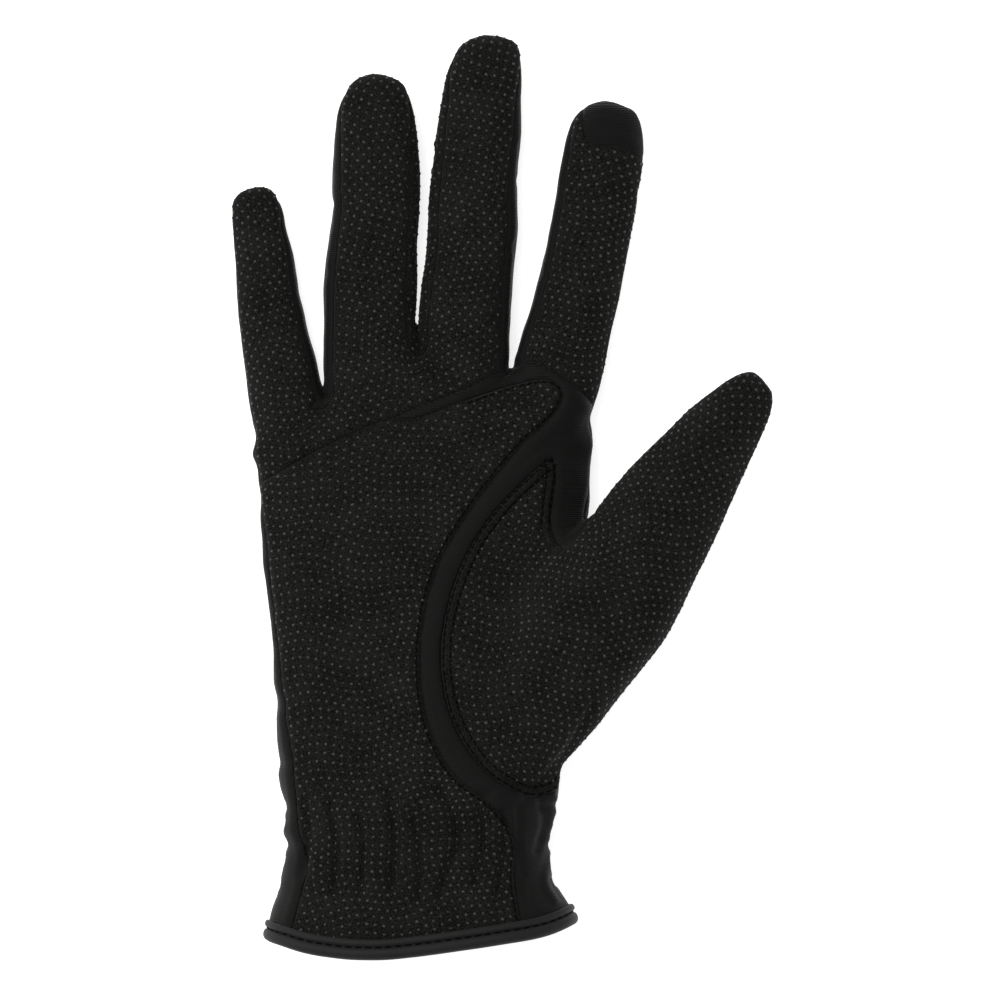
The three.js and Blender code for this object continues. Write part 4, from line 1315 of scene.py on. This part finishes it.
@dataclass
class GripDots:
    """The raised dots printed on the grip cloth, in rows that run in gentle waves."""

    pitch: float = 2.13
    radius: float = 0.43
    height: float = 0.2
    wave: float = 1.4
    wave_length: float = 27.0
    margin: float = 0.85
    welt_margin: float = 2.9
    sunk: float = 0.05
    welt_left_of: float = 38.0
    welt_facing: float = 0.3

    def build(self, cloth: Cloth, pattern: FlatPattern) -> None:
        """Makes one piece with all the dots printed on a panel.

        Args:
            cloth: the panel.
            pattern: its flat pattern.
        """
        rng = np.random.default_rng(SEED + cloth.panel)
        halves = np.concatenate([pattern.faces[:, [0, 1, 2]], pattern.faces[:, [0, 2, 3]]])
        laid = np.column_stack([pattern.flat, np.zeros(len(pattern.flat))])
        table = BVHTree.FromPolygons(laid.tolist(), halves.tolist())
        edge = pattern.flat[pattern.edge()]
        tree = nearest_tree(np.column_stack([edge, np.zeros(len(edge))]))
        places = []
        for x, y in self.lattice(pattern.flat.min(axis=0), pattern.flat.max(axis=0)):
            _, _, face, _ = table.ray_cast(Vector((x, y, 5)), Vector((0, 0, -1)))
            if face is None:
                continue
            away = tree.find((x, y, 0))[2]
            corners = halves[face]
            share = self.shares(laid[corners][:, :2], np.array([x, y]))
            at = share @ pattern.points[corners]
            a, b, c = pattern.points[corners]
            normal = Vector(np.cross(b - a, c - a)).normalized()
            welted = cloth.panel == Panel.THUMB_FRONT and normal.z > self.welt_facing and at[0] < self.welt_left_of
            if away < (self.welt_margin if welted else self.margin):
                continue
            turn = normal.to_track_quat("Z", "Y").to_matrix().to_4x4()
            size = Matrix.Diagonal((*rng.uniform(0.86, 1.1, 2), rng.uniform(0.85, 1.1), 1))
            places.append(Matrix.Translation(at - self.sunk * np.array(normal)) @ turn @ size)
        piece = copies(cloth.name.replace("_cloth", "") + "_grip_dots", self.dot(), places)
        log.info("%d dots", len(places))
        finish_piece(piece, SILICONE_DOTS)

    def lattice(self, low: np.ndarray, high: np.ndarray) -> np.ndarray:
        """The places of the dots in the pattern between two corners.

        Args:
            low: the lower left corner.
            high: the upper right corner.

        Returns:
            The places, one row each.
        """
        grid = [np.arange(math.floor(a / self.pitch) - 2, math.ceil(b / self.pitch) + 3) for a, b in zip(low, high)]
        x, y = (axis.ravel() * self.pitch for axis in np.meshgrid(*grid))
        turn = 2 * math.pi / self.wave_length
        moved_x = x + self.wave * np.sin(y * turn + 0.6 * np.sin(x * turn * 0.31))
        moved_y = y + self.wave * np.sin(x * turn + 1.1)
        return np.column_stack([moved_x, moved_y])

    def dot(self) -> bmesh.types.BMesh:
        """One dot: a low dome with a flat underside.

        Returns:
            Its shape.
        """
        bm = bmesh.new()
        bmesh.ops.create_uvsphere(bm, u_segments=8, v_segments=4, radius=self.radius)
        bmesh.ops.scale(bm, vec=(1, 1, (self.height + self.sunk) / self.radius), verts=bm.verts)
        bmesh.ops.bisect_plane(bm, geom=[*bm.verts, *bm.edges, *bm.faces], plane_co=(0, 0, 0),
                               plane_no=(0, 0, 1), clear_inner=True)
        bmesh.ops.holes_fill(bm, edges=[e for e in bm.edges if e.is_boundary])
        bmesh.ops.recalc_face_normals(bm, faces=bm.faces)
        bm.verts.index_update()
        return bm

    @staticmethod
    def shares(triangle: np.ndarray, at: np.ndarray) -> np.ndarray:
        """How much each corner of a flat triangle counts for a point in it.

        Args:
            triangle: its corners.
            at: the point.

        Returns:
            The shares, which add up to 1.
        """
        a, b, c = triangle
        matrix = np.array([[b[0] - a[0], c[0] - a[0]], [b[1] - a[1], c[1] - a[1]]])
        u, v = np.linalg.solve(matrix, at - a)
        return np.array([1 - u - v, u, v])


@dataclass
class Stitches:
    """Rows of visible stitches."""

    net: GloveNet
    lines: SeamLines
    pitch: float = 2.0
    length: float = 1.75
    thread: float = 0.55
    thumb_rows: tuple[float, float] = (0.5, 2.3)
    patch_row: float = 0.9
    thumb_from: int = 14
    patch_from: int = 26
    least_facing: float = 0.15
    proud: float = 0.06

    def build(self) -> None:
        """Sews the double row round the thumb panel and the row along the palm patch."""
        surface = BVHTree.FromPolygons(self.net.points.tolist(), self.net.quads.tolist())
        thumb = self.lines.on_hand(self.lines.thumb)[self.thumb_from:]
        flap = self.lines.on_hand(self.lines.flap[:4])
        rows = [self.beside(line, away) for away in self.thumb_rows for line in (thumb, flap)]
        self.row("thumb_edge_stitches", surface, rows)
        patch = self.lines.on_hand(self.lines.patch)[self.patch_from:]
        self.row("palm_edge_stitches", surface, [self.beside(patch, self.patch_row)])

    @staticmethod
    def beside(line: np.ndarray, away: float) -> np.ndarray:
        """A line moved to its right by a distance.

        Args:
            line: the line.
            away: the distance.

        Returns:
            The moved line.
        """
        run = np.gradient(line, axis=0)
        run /= np.maximum(np.linalg.norm(run, axis=1, keepdims=True), 1e-9)
        return line + away * np.column_stack([run[:, 1], -run[:, 0]])

    def row(self, name: str, surface: BVHTree, lines: list[np.ndarray]) -> None:
        """Lays one piece of stitches along lines seen from above.

        Args:
            name: the name of the piece.
            surface: the cloth they are sewn into.
            lines: the lines on the hand.
        """
        places = []
        for line in lines:
            reach = lengths_along(line)
            at = np.arange(self.pitch / 2, reach[-1], self.pitch)
            xs, ys = (np.interp(at, reach, line[:, i]) for i in (0, 1))
            ways = [np.interp(at + 0.5, reach, line[:, i]) - np.interp(at - 0.5, reach, line[:, i]) for i in (0, 1)]
            for x, y, wx, wy in zip(xs, ys, *ways):
                hit, normal, face, _ = surface.ray_cast(Vector((x, y, 80)), Vector((0, 0, -1)))
                if hit is None or normal.z < self.least_facing or self.net.panel[face] == Panel.OPENING:
                    continue
                way = Vector((wx, wy, 0))
                way = (way - normal * way.dot(normal)).normalized()
                turn = Matrix((way, normal.cross(way), normal)).transposed().to_4x4()
                places.append(Matrix.Translation(hit + normal * self.proud) @ turn)
        finish_piece(copies(name, self.stitch(), places), SEWING_THREAD)

    def stitch(self) -> bmesh.types.BMesh:
        """One stitch: a short plump length of thread.

        Returns:
            Its shape.
        """
        bm = bmesh.new()
        bmesh.ops.create_uvsphere(bm, u_segments=6, v_segments=5, radius=0.5)
        bmesh.ops.rotate(bm, cent=(0, 0, 0), matrix=Matrix.Rotation(math.pi / 2, 3, "Y"), verts=bm.verts)
        bmesh.ops.scale(bm, vec=(self.length, self.thread, self.thread), verts=bm.verts)
        bm.verts.index_update()
        return bm


@dataclass
class HemBinding:
    """The elastic tape folded over the edge of the cuff, with a row of stitches pressed into it.

    Each point of the profile is [out from the cloth's face, down from the cloth's edge].
    """

    net: GloveNet
    step: float = 1.1
    smooth_rounds: int = 10
    groove: tuple[float, float] = (0.42, -1.15)
    stitch_pitch: float = 2.6
    stitch_ahead: float = 0.4
    profile: Table = (
        (0.06, -3.15), (0.55, -3.2), (0.95, -2.95), (1.15, -2.45), (1.12, -1.9), (0.85, -1.5), (0.42, -1.34),
        (0.3, -1.15), (0.42, -0.96), (0.95, -0.78), (1.25, -0.3), (1.35, 0.4), (1.25, 1.1), (0.9, 1.7),
        (0.3, 2.05), (-0.45, 2.15), (-1.2, 2.05), (-1.8, 1.7), (-2.12, 1.1), (-2.2, 0.4), (-2.1, -0.3),
        (-1.75, -0.9), (-1.5, -1.2), (-1.9, -1.7), (-2.05, -2.4), (-1.8, -3.0), (-1.35, -3.2), (-0.98, -3.15),
        (-0.98, 0.12), (0.06, 0.12),
    )

    def build(self) -> None:
        """Sweeps the tape along the edge of the cuff and sews it."""
        at, out, down = self.path()
        rings = []
        for p, n, d in zip(at, out, down):
            rings.append(np.array([p + n * x + d * y for x, y in self.profile]))
        bm = bmesh.new()
        skin(bm, rings, capped=False)
        bmesh.ops.recalc_face_normals(bm, faces=bm.faces)
        tape = shape_object("hem_tape", bm)
        finish_piece(tape, BINDING_WEAVE)
        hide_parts("hem_binding")
        self.sew(at, out, down)

    def path(self) -> tuple[np.ndarray, np.ndarray, np.ndarray]:
        """The edge of the cuff as evenly spaced points, with the directions out of the cloth and down.

        Returns:
            The points, the directions out and the directions down.
        """
        net = self.net
        edge = (net.panel[net.edge_faces] == Panel.OPENING).sum(axis=1) == 1
        beside: dict[int, list[int]] = {}
        for a, b in net.edges[edge]:
            beside.setdefault(int(a), []).append(int(b))
            beside.setdefault(int(b), []).append(int(a))
        start = next(iter(beside))
        loop, last = [start], None
        while True:
            onward = [v for v in beside[loop[-1]] if v != last]
            last = loop[-1]
            if not onward or onward[0] == start:
                break
            loop.append(onward[0])
        points, normals = net.points[loop], net.normals()[loop]
        closed = np.vstack([points, points[:1]])
        reach = lengths_along(closed)
        count = round(reach[-1] / self.step)
        places = np.linspace(0, reach[-1], count, endpoint=False)
        at = np.column_stack([np.interp(places, reach, closed[:, i]) for i in range(3)])
        out = np.column_stack([np.interp(places, reach, np.append(normals[:, i], normals[0, i])) for i in range(3)])
        for _ in range(self.smooth_rounds):
            at = at + 0.25 * (np.roll(at, 1, axis=0) + np.roll(at, -1, axis=0) - 2 * at)
            out = out + 0.5 * (np.roll(out, 1, axis=0) + np.roll(out, -1, axis=0) - 2 * out)
        way = np.roll(at, -1, axis=0) - np.roll(at, 1, axis=0)
        way /= np.linalg.norm(way, axis=1, keepdims=True)
        out -= way * (out * way).sum(axis=1, keepdims=True)
        out /= np.linalg.norm(out, axis=1, keepdims=True)
        down = np.cross(way, out)
        if down[:, 1].mean() > 0:
            down = -down
        return at, out, down

    def sew(self, at: np.ndarray, out: np.ndarray, down: np.ndarray) -> None:
        """Lays the stitches in the groove of the tape, on both faces.

        Args:
            at: the edge of the cuff.
            out: the direction out of the cloth at each point.
            down: the direction towards the opening.
        """
        sewing = Stitches(self.net, SeamLines(), length=1.9, thread=0.5)
        places = []
        groove = at + out * self.groove[0] + down * self.groove[1]
        closed = np.vstack([groove, groove[:1]])
        reach = lengths_along(closed)
        for place in np.arange(0, reach[-1], self.stitch_pitch):
            p, ahead = (np.array([np.interp((place + d) % reach[-1], reach, closed[:, i]) for i in range(3)])
                        for d in (0, self.stitch_ahead))
            i = int(np.abs(reach[:-1] - place).argmin())
            way, normal = Vector(ahead - p).normalized(), Vector(out[i])
            side = normal.cross(way).normalized()
            places.append(Matrix.Translation(p) @ Matrix((way, side, way.cross(side))).transposed().to_4x4())
        finish_piece(copies("hem_stitches", sewing.stitch(), places), SEWING_THREAD)


@dataclass
class ClothPanels:
    """The cloth panels of the glove, each a wall of cloth that meets its neighbours edge to edge at the seams."""

    net: GloveNet
    thickness: float = 0.9

    def build(self) -> None:
        """Makes one piece for each panel."""
        made = [(cloth, self.panel(cloth)) for cloth in CLOTHS]

    def panel(self, cloth: Cloth) -> bpy.types.Object:
        """Cuts one panel out of the net and gives it its thickness.

        Args:
            cloth: which panel.

        Returns:
            The finished piece.
        """
        quads = self.net.quads[self.net.panel == cloth.panel]
        used, faces = np.unique(quads, return_inverse=True)
        faces = faces.reshape(-1, 4)
        points = self.net.points[used]
        piece = new_piece(cloth.name, points, faces.tolist())
        if cloth.dotted:
            GripDots().build(cloth, FlatPattern.of(piece, points, faces))
        finish_piece(piece, cloth.finish)
        wall = piece.modifiers.new("cloth_thickness", "SOLIDIFY")
        wall.thickness = self.thickness * MM
        wall.offset = -1
        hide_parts(cloth.node)
        return piece


@dataclass
class Studio:
    """A pale floor, soft lights and a camera that looks straight down on the palm."""

    view: float = 260.0 * MM
    distance: float = 3.0
    palm_height: float = 12.0 * MM
    middle: tuple[float, float] = (-0.52 * MM, -1.17 * MM)
    floor_glow: float = 0.75
    air: float = 0.42

    def build(self) -> None:
        """Makes the camera first, then the floor and the lights."""
        self.camera()
        self.floor()
        self.lights()

    def camera(self) -> None:
        """The camera over the middle of the picture, which shows 260 mm at the height of the palm."""
        data = bpy.data.cameras.new("photo_camera")
        data.sensor_fit = "HORIZONTAL"
        data.sensor_width = 36.0
        data.lens = 36.0 * self.distance / self.view
        data.dof.use_dof = False
        camera = bpy.data.objects.new("photo_camera", data)
        camera.location = (*self.middle, self.distance + self.palm_height)
        bpy.context.scene.collection.objects.link(camera)
        bpy.context.scene.camera = camera

    def floor(self) -> None:
        """A wide white floor that the glove lies on."""
        bm = bmesh.new()
        bmesh.ops.create_grid(bm, x_segments=1, y_segments=1, size=3.0)
        floor = shape_object("studio_floor", bm)
        made = bpy.data.materials.new("white_paper")
        made.use_nodes = True
        tree = made.node_tree
        tree.nodes.clear()
        place = add_node(tree, "ShaderNodeTexCoord").outputs["Object"]
        grain = add_node(tree, "ShaderNodeTexNoise", {"Vector": place, "Scale": 60.0})
        tone = add_node(tree, "ShaderNodeValToRGB", {"Fac": grain.outputs["Fac"]})
        tone.color_ramp.elements[0].color = linear("#f4f4f4")
        tone.color_ramp.elements[1].color = linear("#f8f8f8")
        shader = add_node(tree, "ShaderNodeBsdfPrincipled",
                          {"Base Color": tone.outputs["Color"], "Roughness": 0.9, "Specular IOR Level": 0.1,
                           "Emission Color": linear("#ffffff"), "Emission Strength": self.floor_glow})
        add_node(tree, "ShaderNodeOutputMaterial", {"Surface": shader.outputs[0]})
        floor.data.materials.append(made)

    def lights(self) -> None:
        """A large soft light over the glove, one from the left and a low one from the right for its rims."""
        world = bpy.data.worlds.new("studio_air")
        world.use_nodes = True
        world.node_tree.nodes["Background"].inputs["Color"].default_value = linear("#ffffff")
        world.node_tree.nodes["Background"].inputs["Strength"].default_value = self.air
        bpy.context.scene.world = world
        bpy.context.scene.view_settings.view_transform = "Standard"
        for name, where, size, power in (
            ("top_box", (-0.45, 0.4, 1.3), 0.9, 10.0),
            ("left_box", (-1.2, 0.1, 0.6), 0.6, 5.0),
            ("rim_box", (1.1, -0.5, 0.45), 0.5, 2.0),
        ):
            data = bpy.data.lights.new(name, "AREA")
            data.shape = "SQUARE"
            data.size = size
            data.energy = power
            light = bpy.data.objects.new(name, data)
            light.location = where
            light.rotation_euler = (Vector((0, 0, 0)) - Vector(where)).to_track_quat("-Z", "Y").to_euler()
            bpy.context.scene.collection.objects.link(light)


def main() -> None:
    """Builds the glove piece by piece, then the studio round it."""
    logging.basicConfig(level=logging.INFO, format="%(message)s")
    form = GloveForm()
    net = form.build()
    tailor = Tailor(form.digits)
    tailor.cut(net)
    tailor.smooth_seams(net)
    ClothRelief().lay(net)
    ClothPanels(net).build()
    HemBinding(net).build()
    Stitches(net, tailor.lines).build()
    Studio().build()


if __name__ == "__main__":
    main()
